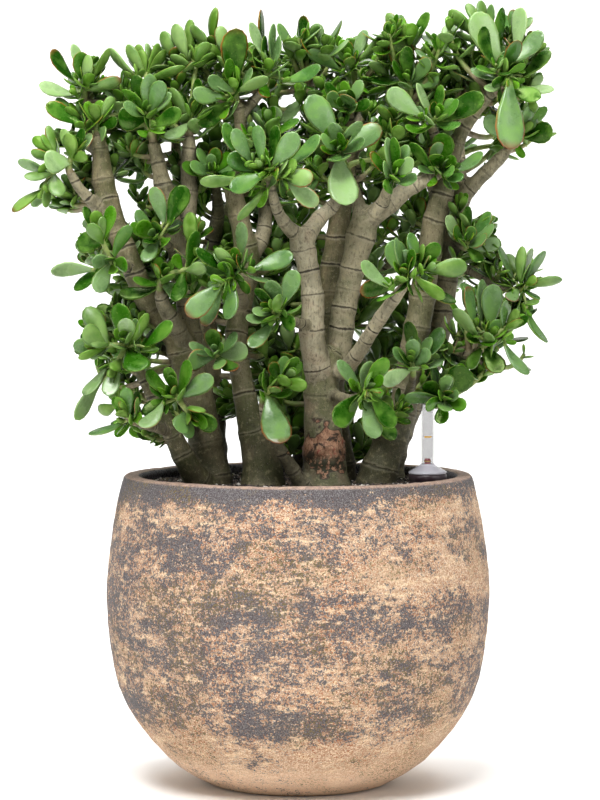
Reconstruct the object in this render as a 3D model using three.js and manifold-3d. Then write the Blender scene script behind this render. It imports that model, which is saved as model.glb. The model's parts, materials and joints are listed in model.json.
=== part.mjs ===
// A jade plant (Crassula ovata): eight branching stems with leafy sprays at their tips, in a
// round-bellied pot filled with grit, with a water-level gauge standing in the grit.
// Millimetres, +Z up. The origin is the centre of the pot's flat foot, and -Y is the front.
import * as THREE from "three";
import { mergeVertices } from "three/addons/utils/BufferGeometryUtils.js";
import Module from "manifold-3d";

const wasm = await Module();
wasm.setup();

// ---- driving dimensions, in mm ----
const gap = 0.3; // between pieces that touch
const pot = { height: 310, rim: 175, wall: 18, floor: 20, lip: 3, sides: 32 };
// [radius, height] up the outside, from the edge of the foot, and up the inside, from the floor
const potOutside = [[88, 0], [134, 31], [177, 92], [191.5, 180], [186, 252]];
const potInside = [[80, 20], [120, 42], [160, 98], [173.5, 180], [168, 252]];
const soil = { drop: 11, hole: 40 }; // how far the grit lies under the rim, and how deep stems stand
const plug = { share: 0.72, rise: 8, sides: 8 }; // a stem's round foot in its hole
const gauge = { x: 128, y: -40, foot: 19, footTop: 313, shoulder: 12, tube: 6.75, bore: 5.4,
  top: 388, sunk: 60, sides: 16 };
const gaugeFloat = { radius: 3.4, head: 324, sides: 10 };
const stationLength = 38; // between the rings of a stem
const shootEnd = 2.6; // the radius of a green shoot at its tip, and the most it has at its limb
const shootBase = 4.4;
const leafThickness = 4.2;
const leafMargin = 0.7; // room kept round a leaf when it is tested against its neighbours
const fuseTolerance = 0.2; // a fused piece loses edges that stand out less than this

// The plant is drawn on a front sheet, 1 mm to the unit: [across, down, depth]. Depth is the
// distance behind the pot's axis. Whatever stands nearer the front is drawn in towards the
// eye point, so the sheet shows the plant as it looks from eyeHeight at eyeDistance. Stems are
// drawn shallow and spread out in depth by these factors, and each spray goes with its limb.
const sheet = { axis: 298, ground: 784, eyeHeight: 543, eyeDistance: 3050 };
const spread = { front: 2.1, back: 1.15 };

function spreadDepth(depth) {
  return depth * (depth < 0 ? spread.front : spread.back);
}

function placeStem([across, down, depth]) {
  return place([across, down, spreadDepth(depth)]);
}

function place([across, down, depth]) {
  const k = 1 + depth / sheet.eyeDistance;
  return new THREE.Vector3(
    (across - sheet.axis) * k,
    depth,
    sheet.eyeHeight + (sheet.ground - down - sheet.eyeHeight) * k,
  );
}

// ---- stems: [across, down, depth, radius] along each limb, from its root end ----
const stems = {
  stem_left: [
    { name: "left_main", path: [[212, 512, 10, 22], [210, 470, 10, 18.5], [205, 440, 8, 17],
      [197, 400, 6, 17], [188, 365, 5, 16.5], [178, 338, 3, 15], [163, 318, 0, 13],
      [147, 300, -4, 12], [134, 270, -5, 11], [121, 238, -2, 11], [109, 205, 0, 11.5],
      [104, 182, 0, 11.5], [102, 158, 0, 9], [99, 136, 0, 7]] },
    { name: "left_high", path: [[103, 162, 3, 6], [91, 142, 12, 5.4], [85, 120, 15, 4.8],
      [85, 103, 13, 4.2]] },
    { name: "left_side", path: [[104, 214, -2, 7.5], [91, 200, -6, 6], [79, 187, -9, 5.2],
      [71, 173, -10, 4.6]] },
    { name: "left_knee", path: [[131, 268, -6, 5.5], [121, 263, -18, 4.4], [114, 259, -24, 4]] },
    { name: "left_bough", path: [[198, 392, 8, 12], [193, 345, 10, 10.5], [186, 302, 12, 10],
      [180, 265, 12, 9.5], [174, 236, 10, 9.5], [170, 210, 8, 9.5], [164, 188, 6, 9.5],
      [159, 165, 5, 7.5], [154, 143, 4, 6.5]] },
    { name: "left_spur", path: [[190, 352, 2, 9], [176, 325, -8, 8.5], [164, 306, -13, 7.5],
      [160, 292, -17, 6]] },
    { name: "left_third", path: [[178, 252, 12, 7], [187, 225, 22, 8], [190, 195, 22, 8.5],
      [189, 165, 20, 8.5], [190, 136, 18, 6]] },
    { name: "left_twig", path: [[173, 250, 6, 5], [167, 244, -6, 4.2], [163, 240, -12, 4]] },
    { name: "left_low", path: [[205, 492, -2, 14], [188, 465, -14, 11.5], [175, 440, -18, 9.5],
      [165, 418, -22, 8], [152, 395, -26, 6.5], [140, 372, -30, 5.5], [130, 354, -34, 4.5]] },
    { name: "left_foot", path: [[171, 433, -19, 6], [157, 428, -30, 5.2], [144, 425, -38, 4.6],
      [134, 422, -43, 4]] },
    { name: "left_front", path: [[196, 425, 2, 6], [190, 412, -24, 5], [181, 402, -40, 4]] },
    { name: "left_rear", path: [[186, 362, 8, 7], [166, 351, 22, 5.4], [146, 344, 30, 4.6],
      [132, 340, 28, 4]] },
  ],
  stem_mid_left: [
    { name: "mid_main", path: [[262, 512, 0, 23], [262, 470, 0, 20], [257, 440, 0, 17.5],
      [249, 415, 0, 13.5], [245, 395, 2, 11.5], [240, 370, 4, 11], [236, 350, 6, 11],
      [238, 320, 12, 11], [244, 290, 14, 12], [248, 262, 15, 12], [243, 235, 15, 11],
      [238, 210, 14, 10], [234, 190, 12, 9.5], [238, 158, 15, 7.5], [241, 125, 15, 6.5],
      [237, 104, 12, 6]] },
    { name: "mid_right", path: [[241, 118, 15, 6], [252, 104, 20, 5.5], [262, 93, 18, 4.6]] },
    { name: "mid_fork", path: [[250, 260, 16, 8], [262, 238, 24, 8], [266, 210, 34, 7.2],
      [268, 175, 42, 6.4], [266, 145, 40, 5.2]] },
    { name: "mid_blue", path: [[243, 304, 8, 6.5], [242, 296, -14, 5.6], [240, 284, -25, 5]] },
    { name: "mid_twig", path: [[237, 370, 0, 5], [226, 363, -20, 4.4], [219, 359, -30, 4]] },
  ],
  stem_centre: [
    { name: "centre_main", path: [[325, 512, -5, 25], [325, 480, -5, 22.5], [324, 450, -5, 20.5],
      [322, 425, -5, 18.5], [321, 400, -5, 16.5], [322, 380, -5, 17.5], [326, 360, -4, 17],
      [330, 350, -2, 12]] },
    { name: "centre_pale", path: [[319, 374, -8, 14], [314, 350, -12, 13], [312, 330, -14, 12.5],
      [313, 305, -14, 11.5], [311, 285, -14, 10.5], [307, 262, -14, 11], [302, 244, -14, 12.5],
      [301, 228, -14, 11.5]] },
    { name: "centre_left", path: [[301, 238, -14, 8.5], [287, 226, -22, 6.8], [278, 212, -28, 5.6],
      [273, 196, -33, 5], [270, 183, -36, 4.5]] },
    { name: "centre_knuckle", path: [[306, 237, -14, 9.5], [320, 218, -9, 8], [333, 206, -8, 7],
      [338, 196, -12, 5.5]] },
    { name: "centre_green", path: [[330, 374, -2, 14], [338, 350, 0, 13], [341, 335, 0, 12.5],
      [344, 310, 0, 12.5], [350, 280, 0, 12], [356, 255, 0, 13], [361, 235, 0, 14.5],
      [366, 216, 0, 14]] },
    { name: "centre_crown", path: [[362, 222, 2, 8.5], [358, 203, 6, 7], [352, 184, 4, 5.5]] },
    { name: "centre_mid", path: [[370, 220, -3, 8.5], [382, 203, -6, 6.5], [387, 190, -11, 5.2],
      [390, 182, -15, 4.4]] },
    { name: "centre_right", path: [[370, 218, 0, 11], [390, 203, 2, 10], [408, 189, 4, 8.5],
      [427, 180, 4, 7], [438, 175, 2, 5.6]] },
    { name: "centre_side", path: [[341, 374, -10, 8.5], [358, 353, -22, 7.5], [370, 334, -30, 7],
      [383, 314, -36, 7], [395, 298, -41, 6], [404, 286, -45, 5]] },
    { name: "centre_low", path: [[334, 395, -8, 6], [349, 399, -36, 5], [358, 397, -46, 4.2]] },
    { name: "centre_spur", path: [[308, 325, -18, 5.5], [296, 322, -28, 4.6], [286, 318, -34, 4]] },
    { name: "centre_thin", path: [[312, 500, -9, 10], [299, 480, -13, 8], [286, 459, -17, 6.5],
      [274, 438, -21, 5.5], [265, 420, -25, 5], [263, 405, -29, 4.5]] },
  ],
  stem_back: [
    { name: "back_main", path: [[340, 520, 52, 19], [336, 450, 50, 17], [331, 400, 46, 15],
      [329, 340, 42, 14], [331, 300, 40, 13], [333, 270, 40, 13], [337, 240, 38, 12],
      [340, 215, 38, 11], [345, 190, 38, 9], [350, 160, 36, 7.5], [350, 134, 32, 6.5],
      [348, 115, 26, 5.4]] },
    { name: "back_left_fork", path: [[345, 184, 38, 7], [327, 150, 56, 6.5], [313, 112, 66, 5.5],
      [308, 86, 70, 4.8]] },
    { name: "back_right_fork", path: [[350, 152, 36, 6.5], [359, 118, 52, 5.6], [356, 88, 58, 4.8]] },
  ],
  stem_right: [
    { name: "right_main", path: [[371, 512, 20, 20], [378, 475, 21, 18.5], [389, 445, 22, 17],
      [400, 415, 22, 15], [408, 385, 22, 13.5], [413, 350, 22, 13], [420, 310, 22, 13],
      [426, 270, 20, 13], [432, 235, 18, 12.5], [439, 205, 16, 12], [446, 180, 15, 10],
      [453, 155, 15, 8], [460, 135, 15, 7.5], [470, 118, 14, 7.5], [482, 104, 12, 6],
      [492, 92, 8, 5.2]] },
    { name: "right_side", path: [[447, 172, 14, 7], [438, 146, 6, 6], [432, 130, 0, 5.2]] },
    { name: "right_fork", path: [[439, 202, 18, 8], [425, 165, 38, 6.6], [414, 128, 44, 5.5],
      [411, 103, 40, 4.8]] },
    { name: "right_twig", path: [[408, 398, 14, 6], [411, 386, -16, 4.6], [413, 376, -32, 4]] },
  ],
  stem_far_right: [
    { name: "far_main", path: [[386, 515, 70, 17], [388, 470, 68, 16], [397, 435, 65, 15],
      [411, 400, 62, 14], [434, 350, 58, 12.5], [443, 310, 55, 11.5], [447, 270, 52, 11],
      [451, 240, 50, 10.5], [456, 215, 47, 10.5], [463, 193, 45, 9]] },
    { name: "far_up", path: [[461, 202, 46, 6], [461, 172, 48, 5], [460, 150, 51, 4.6],
      [459, 126, 56, 4.4], [458, 104, 60, 4]] },
    { name: "far_right", path: [[462, 197, 45, 8.5], [479, 179, 42, 7.5], [493, 165, 40, 7],
      [506, 152, 38, 5.8]] },
    { name: "far_low", path: [[441, 345, 56, 6.5], [452, 349, 24, 5.2], [468, 355, 0, 4.6],
      [481, 349, -14, 4]] },
    { name: "far_out", path: [[448, 264, 52, 6], [470, 271, 42, 5.2], [494, 284, 27, 4.6],
      [512, 291, 16, 4]] },
    { name: "far_dark", path: [[453, 234, 48, 5.6], [461, 245, 24, 4.6], [465, 248, 8, 4]] },
    { name: "far_foot", path: [[413, 396, 62, 7], [431, 401, 26, 5.4], [436, 405, -8, 4.6]] },
  ],
  stem_back_left: [
    { name: "rear_left", path: [[216, 520, 66, 17], [212, 450, 74, 15], [211, 400, 80, 13],
      [208, 350, 84, 12], [206, 300, 82, 11], [210, 255, 68, 9.5], [217, 222, 50, 7.5],
      [218, 204, 40, 6], [216, 186, 32, 4.8]] },
    { name: "rear_left_high", path: [[207, 305, 84, 9], [192, 262, 108, 8], [182, 215, 122, 7],
      [178, 170, 128, 6], [176, 136, 132, 5]] },
    { name: "rear_left_out", path: [[209, 352, 86, 8], [180, 322, 108, 6.6], [152, 292, 118, 5.4],
      [136, 268, 122, 4.4]] },
    { name: "rear_left_low", path: [[212, 402, 82, 7.5], [198, 385, 112, 6], [188, 372, 134, 4.6]] },
    { name: "rear_left_mid", path: [[212, 245, 66, 7], [228, 212, 98, 6], [238, 175, 118, 5]] },
  ],
  stem_back_right: [
    { name: "rear_right", path: [[302, 520, 92, 17], [308, 450, 98, 15], [318, 400, 106, 13],
      [330, 350, 112, 12], [340, 300, 116, 11], [348, 255, 120, 9.5], [354, 210, 124, 8],
      [358, 165, 128, 6.5], [360, 130, 132, 5]] },
    { name: "rear_right_out", path: [[334, 332, 114, 9], [362, 296, 128, 7.6], [392, 258, 134, 6.4],
      [420, 218, 132, 5.6], [440, 180, 130, 4.6]] },
    { name: "rear_right_low", path: [[320, 395, 108, 7.5], [346, 372, 134, 6], [364, 356, 150, 4.6]] },
    { name: "rear_right_in", path: [[345, 272, 118, 7], [318, 236, 136, 6], [300, 200, 146, 5]] },
  ],
};

// ---- leafy sprays: each grows from the tip of a limb. A shoot ends at "to" and bears "pairs" of
// small crossed leaves up to "size" long. "leaves" lists its large leaves: the tip's
// [across, down, depth] and the blade's width. ----
const sprays = [
  { name: "spray_01", limb: "left_high", shoots: [
    { to: [88, 84, 6], leaves: [[40, 86, 0, 13], [122, 80, -6, 13], [54, 50, 12, 12],
      [73, 46, 20, 12], [112, 50, 0, 9], [80, 53, -10, 18], [92, 56, -14, 12]] },
    { to: [116, 98, 52], inner: { pairs: 2, size: 42 } },
  ] },
  { name: "spray_02", limb: "left_main", shoots: [
    { to: [98, 119, -6], leaves: [[47, 105, -12, 17], [58, 98, 8, 14], [119, 122, -22, 12],
      [105, 137, -34, 12], [113, 97, -10, 12], [86, 103, -14, 11]] },
  ] },
  { name: "spray_03", limb: "left_side", shoots: [
    { to: [75, 152, -14], leaves: [[45, 162, -32, 24], [64, 129, -18, 12], [84, 129, -12, 9],
      [88, 155, -30, 13]] },
    { to: [52, 154, -4], leaves: [[34, 138, -4, 12], [50, 126, 4, 11], [41, 174, 2, 9]] },
    { to: [48, 180, -8], leaves: [[19, 161, -6, 10], [12, 211, -10, 12], [31, 206, 8, 9],
      [47, 208, -18, 9], [60, 196, -32, 17]] },
  ] },
  { name: "spray_04", limb: "left_bough", shoots: [
    { to: [148, 113, -16], leaves: [[135, 76, -14, 15], [151, 75, -26, 17], [164, 82, -30, 18],
      [123, 91, -22, 11], [124, 106, -38, 12], [173, 95, -20, 9], [119, 118, -22, 24],
      [183, 112, -40, 17]] },
    { to: [147, 72, 18], leaves: [[128, 46, 12, 11], [138, 46, 24, 9], [149, 45, 30, 8],
      [160, 45, 22, 9], [166, 51, 12, 10], [186, 68, 2, 9], [110, 50, 18, 9]] },
    { to: [128, 136, 48], inner: { pairs: 2, size: 42 } },
  ] },
  { name: "spray_05", limb: "left_third", shoots: [
    { to: [192, 114, 8], leaves: [[172, 88, 0, 12], [200, 80, -8, 12], [166, 140, -18, 14]] },
    { to: [197, 62, 22], leaves: [[163, 33, 24, 12], [176, 25, 10, 16], [190, 21, 30, 11],
      [172, 56, 2, 9], [214, 54, 8, 9]] },
    { to: [176, 84, 64], inner: { pairs: 2, size: 42 } },
  ] },
  { name: "spray_06", limb: "mid_main", shoots: [
    { to: [236, 87, 0], leaves: [[237, 30, -12, 27], [208, 80, -20, 14], [268, 79, -18, 13],
      [228, 61, -22, 13], [193, 95, -28, 17], [199, 126, 0, 20]] },
    { to: [221, 52, 26], leaves: [[216, 9, 28, 11], [213, 25, 38, 9], [191, 27, 14, 9],
      [205, 48, 4, 14]] },
  ] },
  { name: "spray_07", limb: "mid_right", shoots: [
    { to: [268, 72, 10], leaves: [[250, 24, 2, 10], [259, 11, 30, 8], [273, 25, 18, 9],
      [264, 37, 8, 8], [279, 37, 0, 9], [320, 68, -16, 15], [264, 99, -12, 13]] },
  ] },
  { name: "spray_08", limb: "mid_fork", shoots: [
    { to: [264, 124, 30], inner: { pairs: 1, size: 24 }, leaves: [[249, 102, 24, 13],
      [262, 103, 36, 11], [279, 109, 20, 18], [301, 103, 30, 12]] },
  ] },
  { name: "spray_09", limb: "back_left_fork", shoots: [
    { to: [305, 62, 62], inner: { pairs: 1, size: 28 }, leaves: [[305, 17, 66, 11],
      [319, 25, 58, 17], [278, 25, 68, 9], [341, 21, 70, 8], [295, 38, 44, 12], [288, 50, 60, 11]] },
  ] },
  { name: "spray_10", limb: "back_right_fork", shoots: [
    { to: [350, 63, 46], inner: { pairs: 1, size: 26 }, leaves: [[308, 52, 34, 15],
      [386, 35, 38, 11], [367, 32, 48, 11], [341, 41, 52, 13], [401, 80, 34, 12], [328, 46, 58, 11]] },
  ] },
  { name: "spray_11", limb: "right_fork", shoots: [
    { to: [408, 82, 24], leaves: [[396, 37, 36, 27], [404, 47, 10, 15], [429, 61, 4, 16],
      [391, 63, 10, 10], [438, 76, 18, 21]] },
    { to: [407, 44, 44], leaves: [[386, 15, 46, 13], [428, 14, 42, 10], [400, 17, 60, 10],
      [411, 24, 28, 12], [454, 34, 46, 9]] },
  ] },
  { name: "spray_12", limb: "right_main", shoots: [
    { to: [506, 74, -8], leaves: [[474, 14, -6, 28], [482, 28, -32, 13], [517, 42, -30, 15],
      [541, 33, -8, 18], [502, 9, 12, 12], [519, 9, 16, 15], [510, 150, -48, 28],
      [540, 99, -28, 17], [553, 90, 8, 9], [549, 52, 12, 13], [469, 71, 0, 10], [486, 92, -26, 12]] },
    { to: [477, 36, 22], leaves: [[447, 13, 24, 14], [480, 2, 22, 11], [490, 6, 10, 11],
      [467, 5, 32, 12]] },
  ] },
  { name: "spray_13", limb: "far_right", shoots: [
    { to: [522, 134, 28], leaves: [[484, 118, 14, 19], [552, 131, 16, 22], [546, 108, 34, 12],
      [532, 104, 18, 13], [522, 159, 22, 9]] },
  ] },
  { name: "spray_14", limb: "far_up", shoots: [
    { to: [458, 90, 58], inner: { pairs: 1, size: 28 }, leaves: [[462, 50, 44, 20],
      [444, 58, 48, 14], [440, 37, 66, 10], [486, 72, 66, 14]] },
    { to: [466, 92, 102], inner: { pairs: 2, size: 42 } },
  ] },
  { name: "spray_15", limb: "right_side", shoots: [
    { to: [436, 118, -12], leaves: [[387, 91, -20, 21], [416, 84, -6, 9], [441, 86, -4, 10],
      [458, 101, -22, 11], [483, 96, -20, 24], [405, 128, -22, 10], [458, 126, -34, 12]] },
  ] },
  { name: "spray_16", limb: "centre_crown", shoots: [
    { to: [337, 150, -38], inner: { pairs: 2, size: 42 }, leaves: [[308, 97, -32, 27],
      [346, 206, -62, 30], [360, 121, -54, 13], [381, 128, -28, 22], [319, 138, -62, 12],
      [364, 140, -44, 12]] },
    { to: [378, 160, -2], leaves: [[376, 124, 2, 16], [362, 165, -26, 18]] },
  ] },
  { name: "spray_17", limb: "back_main", shoots: [
    { to: [346, 108, 6], inner: { pairs: 1, size: 24 }, leaves: [[325, 84, 0, 13],
      [343, 82, 10, 12], [363, 82, 4, 12], [349, 96, -24, 18], [370, 104, -8, 11]] },
  ] },
  { name: "spray_18", limb: "centre_mid", shoots: [
    { to: [395, 176, -28], leaves: [[368, 154, -38, 10], [385, 138, -26, 10], [394, 138, -38, 12],
      [409, 146, -32, 12], [413, 160, -48, 14], [386, 191, -54, 13]] },
  ] },
  { name: "spray_19", limb: "centre_right", shoots: [
    { to: [443, 168, -12], leaves: [[443, 134, -20, 23], [411, 142, -20, 11], [482, 153, -18, 13],
      [454, 174, -36, 14], [434, 156, -38, 15], [458, 190, -8, 8]] },
  ] },
  { name: "spray_20", limb: "centre_left", shoots: [
    { to: [262, 166, -46], leaves: [[223, 124, -44, 13], [232, 130, -60, 16], [257, 126, -64, 12],
      [276, 126, -56, 11], [298, 134, -62, 20], [200, 183, -60, 11], [230, 190, -74, 18],
      [237, 220, -60, 9], [227, 158, -50, 20], [320, 136, -46, 12]] },
    { to: [284, 176, -48], leaves: [[313, 180, -70, 19], [318, 206, -52, 18], [297, 162, -66, 12]] },
  ] },
  { name: "spray_21", limb: "rear_left", shoots: [
    { to: [213, 171, 10], inner: { pairs: 1, size: 22 }, leaves: [[217, 148, 4, 14],
      [197, 149, 12, 10], [182, 166, -4, 13], [231, 154, 8, 11], [234, 177, -2, 11]] },
  ] },
  { name: "spray_22", limb: "left_knee", shoots: [
    { to: [112, 263, -44], leaves: [[51, 272, -38, 16], [96, 292, -56, 18], [74, 290, -24, 12],
      [132, 226, -34, 13]] },
    { to: [101, 236, -38], leaves: [[95, 211, -46, 14], [114, 206, -44, 12], [84, 207, -32, 9],
      [78, 242, -28, 22]] },
    { to: [104, 250, 50], inner: { pairs: 2, size: 43 } },
  ] },
  { name: "spray_23", limb: "left_twig", shoots: [
    { to: [157, 236, -27], leaves: [[137, 210, -20, 12], [131, 224, -30, 11], [153, 187, -14, 17],
      [186, 186, -20, 21], [144, 263, -40, 15], [143, 246, -16, 14]] },
  ] },
  { name: "spray_24", limb: "left_spur", shoots: [
    { to: [163, 276, -26], leaves: [[133, 279, -30, 9], [119, 293, -24, 12], [187, 294, -44, 20]] },
    { to: [194, 268, -34], leaves: [[174, 255, -42, 12], [196, 230, -42, 14], [190, 212, -26, 16],
      [176, 301, -56, 16]] },
  ] },
  { name: "spray_25", limb: "mid_blue", shoots: [
    { to: [235, 266, -42], leaves: [[195, 250, -58, 12], [217, 247, -62, 13], [243, 222, -44, 12],
      [293, 254, -54, 19], [187, 316, -72, 22], [206, 268, -38, 20], [229, 320, -68, 16],
      [203, 326, -44, 13]] },
  ] },
  { name: "spray_26", limb: "centre_spur", shoots: [
    { to: [272, 311, -48], leaves: [[256, 288, -54, 10], [271, 280, -64, 18], [296, 270, -46, 18],
      [246, 318, -56, 9], [294, 328, -66, 15], [249, 347, -56, 15], [276, 296, -76, 9]] },
  ] },
  { name: "spray_27", limb: "mid_twig", shoots: [
    { to: [216, 353, -44], leaves: [[189, 344, -54, 12], [237, 333, -50, 10], [187, 363, -62, 21],
      [236, 370, -66, 14], [248, 349, -36, 20]] },
  ] },
  { name: "spray_28", limb: "left_low", shoots: [
    { to: [126, 342, -48], leaves: [[127, 317, -66, 17], [148, 313, -50, 9], [174, 323, -54, 14],
      [140, 372, -78, 27], [119, 303, -40, 20], [138, 327, -36, 15]] },
    { to: [102, 346, -42], leaves: [[86, 307, -44, 20], [84, 330, -62, 21], [73, 346, -38, 15],
      [78, 358, -52, 9]] },
    { to: [116, 366, -46], leaves: [[107, 396, -60, 17], [83, 395, -44, 9], [75, 420, -40, 14]] },
  ] },
  { name: "spray_29", limb: "left_foot", shoots: [
    { to: [126, 414, -50], leaves: [[113, 397, -48, 11], [126, 387, -56, 14], [138, 391, -46, 9],
      [142, 418, -66, 13], [88, 434, -52, 9]] },
    { to: [118, 404, 18], inner: { pairs: 2, size: 42 } },
  ] },
  { name: "spray_30", limb: "left_front", shoots: [
    { to: [174, 394, -54], leaves: [[167, 367, -62, 12], [189, 360, -60, 12], [147, 370, -56, 12],
      [214, 377, -58, 19], [142, 414, -52, 17], [141, 426, -74, 15]] },
    { to: [190, 415, -58], leaves: [[179, 432, -76, 20], [217, 428, -62, 18]] },
  ] },
  { name: "spray_31", limb: "centre_thin", shoots: [
    { to: [272, 389, -46], leaves: [[281, 444, -76, 29], [262, 372, -48, 11], [261, 396, -52, 12]] },
    { to: [284, 378, -56], leaves: [[272, 362, -62, 12], [298, 357, -60, 10], [308, 385, -70, 13],
      [286, 356, -48, 12]] },
  ] },
  { name: "spray_32", limb: "centre_low", shoots: [
    { to: [366, 388, -62], leaves: [[336, 361, -62, 13], [387, 357, -68, 17], [349, 381, -78, 10],
      [394, 428, -86, 18], [335, 425, -84, 22], [376, 439, -82, 19], [394, 441, -58, 15]] },
    { to: [378, 404, 22], inner: { pairs: 2, size: 42 } },
  ] },
  { name: "spray_33", limb: "right_twig", shoots: [
    { to: [412, 362, -44], leaves: [[408, 321, -38, 14], [414, 338, -58, 15], [393, 348, -50, 11],
      [443, 328, -36, 15], [381, 383, -62, 17], [431, 350, -58, 14], [433, 338, -44, 10]] },
  ] },
  { name: "spray_34", limb: "centre_side", shoots: [
    { to: [404, 274, -56], leaves: [[361, 262, -68, 14], [360, 292, -60, 19], [392, 240, -46, 22],
      [393, 238, -66, 9], [414, 250, -70, 9]] },
    { to: [424, 267, -52], leaves: [[409, 233, -42, 12], [438, 243, -54, 16], [467, 266, -68, 19],
      [445, 298, -78, 12], [457, 301, -30, 12]] },
  ] },
  { name: "spray_35", limb: "far_dark", shoots: [
    { to: [467, 241, -4], leaves: [[446, 216, -8, 11], [467, 206, 6, 12], [490, 212, 2, 13],
      [494, 226, -14, 11], [500, 243, 16, 16], [482, 262, -12, 12]] },
  ] },
  { name: "spray_36", limb: "far_low", shoots: [
    { to: [490, 337, -24], leaves: [[493, 284, -14, 22], [467, 286, -24, 11], [454, 309, -42, 13],
      [480, 279, -2, 10], [501, 373, -36, 20], [466, 368, -22, 13]] },
    { to: [508, 325, -26], leaves: [[528, 375, -46, 19], [503, 300, -42, 10], [529, 317, -32, 10]] },
  ] },
  { name: "spray_37", limb: "far_out", shoots: [
    { to: [528, 284, 6], leaves: [[522, 246, 4, 12], [532, 248, 16, 8], [545, 251, -2, 11],
      [562, 279, -8, 10], [547, 343, -6, 10], [508, 300, -14, 14], [496, 246, 18, 9],
      [460, 284, 0, 9]] },
    { to: [519, 274, 50], inner: { pairs: 2, size: 38 } },
  ] },
  { name: "spray_38", limb: "far_foot", shoots: [
    { to: [446, 397, -58], leaves: [[468, 368, -54, 28], [431, 366, -58, 10], [425, 383, -66, 16],
      [467, 408, -68, 14], [448, 376, -74, 13], [452, 424, -66, 15], [404, 395, -66, 12],
      [424, 406, -76, 12]] },
  ] },
  { name: "spray_39", limb: "rear_left_high", shoots: [
    { to: [174, 104, 138], inner: { pairs: 3, size: 45 } },
    { to: [140, 140, 142], inner: { pairs: 1, size: 43 } },
    { to: [200, 96, 100], inner: { pairs: 1, size: 42 } },
    { to: [120, 104, 104], inner: { pairs: 2, size: 43 } },
    { to: [136, 160, 92], inner: { pairs: 2, size: 42 } },
  ] },
  { name: "spray_40", limb: "rear_left_out", shoots: [
    { to: [118, 244, 128], inner: { pairs: 3, size: 44 } },
    { to: [150, 232, 150], inner: { pairs: 1, size: 42 } },
    { to: [88, 208, 102], inner: { pairs: 2, size: 43 } },
    { to: [124, 316, 116], inner: { pairs: 2, size: 42 } },
  ] },
  { name: "spray_41", limb: "rear_left_low", shoots: [
    { to: [178, 352, 154], inner: { pairs: 3, size: 43 } },
    { to: [146, 372, 138], inner: { pairs: 1, size: 40 } },
    { to: [252, 304, 126], inner: { pairs: 2, size: 43 } },
  ] },
  { name: "spray_42", limb: "rear_left_mid", shoots: [
    { to: [244, 140, 132], inner: { pairs: 3, size: 44 } },
    { to: [222, 166, 156], inner: { pairs: 1, size: 42 } },
    { to: [262, 78, 104], inner: { pairs: 1, size: 42 } },
    { to: [262, 208, 126], inner: { pairs: 2, size: 42 } },
  ] },
  { name: "spray_43", limb: "rear_right", shoots: [
    { to: [364, 96, 134], inner: { pairs: 3, size: 45 } },
    { to: [330, 104, 150], inner: { pairs: 1, size: 43 } },
    { to: [396, 112, 112], inner: { pairs: 1, size: 42 } },
    { to: [304, 66, 116], inner: { pairs: 2, size: 43 } },
  ] },
  { name: "spray_44", limb: "rear_right_out", shoots: [
    { to: [452, 146, 128], inner: { pairs: 3, size: 44 } },
    { to: [424, 160, 152], inner: { pairs: 1, size: 42 } },
    { to: [496, 146, 112], inner: { pairs: 2, size: 43 } },
    { to: [392, 196, 142], inner: { pairs: 2, size: 42 } },
    { to: [458, 232, 98], inner: { pairs: 2, size: 43 } },
  ] },
  { name: "spray_45", limb: "rear_right_low", shoots: [
    { to: [378, 334, 164], inner: { pairs: 3, size: 43 } },
    { to: [408, 352, 104], inner: { pairs: 2, size: 42 } },
    { to: [418, 300, 104], inner: { pairs: 2, size: 43 } },
  ] },
  { name: "spray_46", limb: "rear_right_in", shoots: [
    { to: [292, 170, 154], inner: { pairs: 3, size: 44 } },
    { to: [318, 188, 172], inner: { pairs: 1, size: 42 } },
    { to: [282, 254, 122], inner: { pairs: 2, size: 42 } },
  ] },
  { name: "spray_47", limb: "left_rear", shoots: [
    { to: [118, 324, 20], inner: { pairs: 3, size: 43 } },
    { to: [104, 346, 8], inner: { pairs: 2, size: 42 } },
  ] },
];

// ---- finishes ----
const finish = {
  pot: new THREE.MeshStandardMaterial({ color: 0xb0957c, roughness: 0.9, metalness: 0 }),
  soil: new THREE.MeshStandardMaterial({ color: 0x4a4541, roughness: 1, metalness: 0 }),
  bark: new THREE.MeshStandardMaterial({ color: 0x7d7564, roughness: 0.85, metalness: 0 }),
  leaf: new THREE.MeshStandardMaterial({ color: 0x4c7a35, roughness: 0.45, metalness: 0 }),
  clear: new THREE.MeshStandardMaterial({ color: 0xd8dadc, roughness: 0.15, metalness: 0 }),
  dark: new THREE.MeshStandardMaterial({ color: 0x2c2428, roughness: 0.4, metalness: 0 }),
  red: new THREE.MeshStandardMaterial({ color: 0xb01818, roughness: 0.4, metalness: 0 }),
};

// ---- solids ----
// A closed mesh with its positions merged becomes a manifold-3d solid, and comes back as a geometry.
function solid(geometry) {
  const bare = geometry.clone();
  bare.deleteAttribute("normal");
  bare.deleteAttribute("uv");
  const merged = mergeVertices(bare, 1e-4);
  return new wasm.Manifold(
    new wasm.Mesh({
      numProp: 3,
      vertProperties: new Float32Array(merged.attributes.position.array),
      triVerts: new Uint32Array(merged.index.array),
    }),
  );
}

function geometryOf(shape) {
  const mesh = shape.getMesh();
  const position = new Float32Array(mesh.numVert * 3);
  for (let i = 0; i < mesh.numVert; i++)
    position.set(mesh.vertProperties.subarray(i * mesh.numProp, i * mesh.numProp + 3), i * 3);
  const geometry = new THREE.BufferGeometry();
  geometry.setAttribute("position", new THREE.BufferAttribute(position, 3));
  geometry.setIndex(new THREE.BufferAttribute(mesh.triVerts, 1));
  geometry.computeVertexNormals();
  return geometry;
}

// Two pieces fused into one sound body, with any space enclosed between them filled, or null.
function fuse(whole, piece) {
  const shells = whole.add(piece).simplify(fuseTolerance).decompose();
  const bodies = shells.filter((shell) => shell.volume() > 0.01);
  return bodies.length === 1 && isSound(bodies[0]) ? bodies[0] : null;
}

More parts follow.
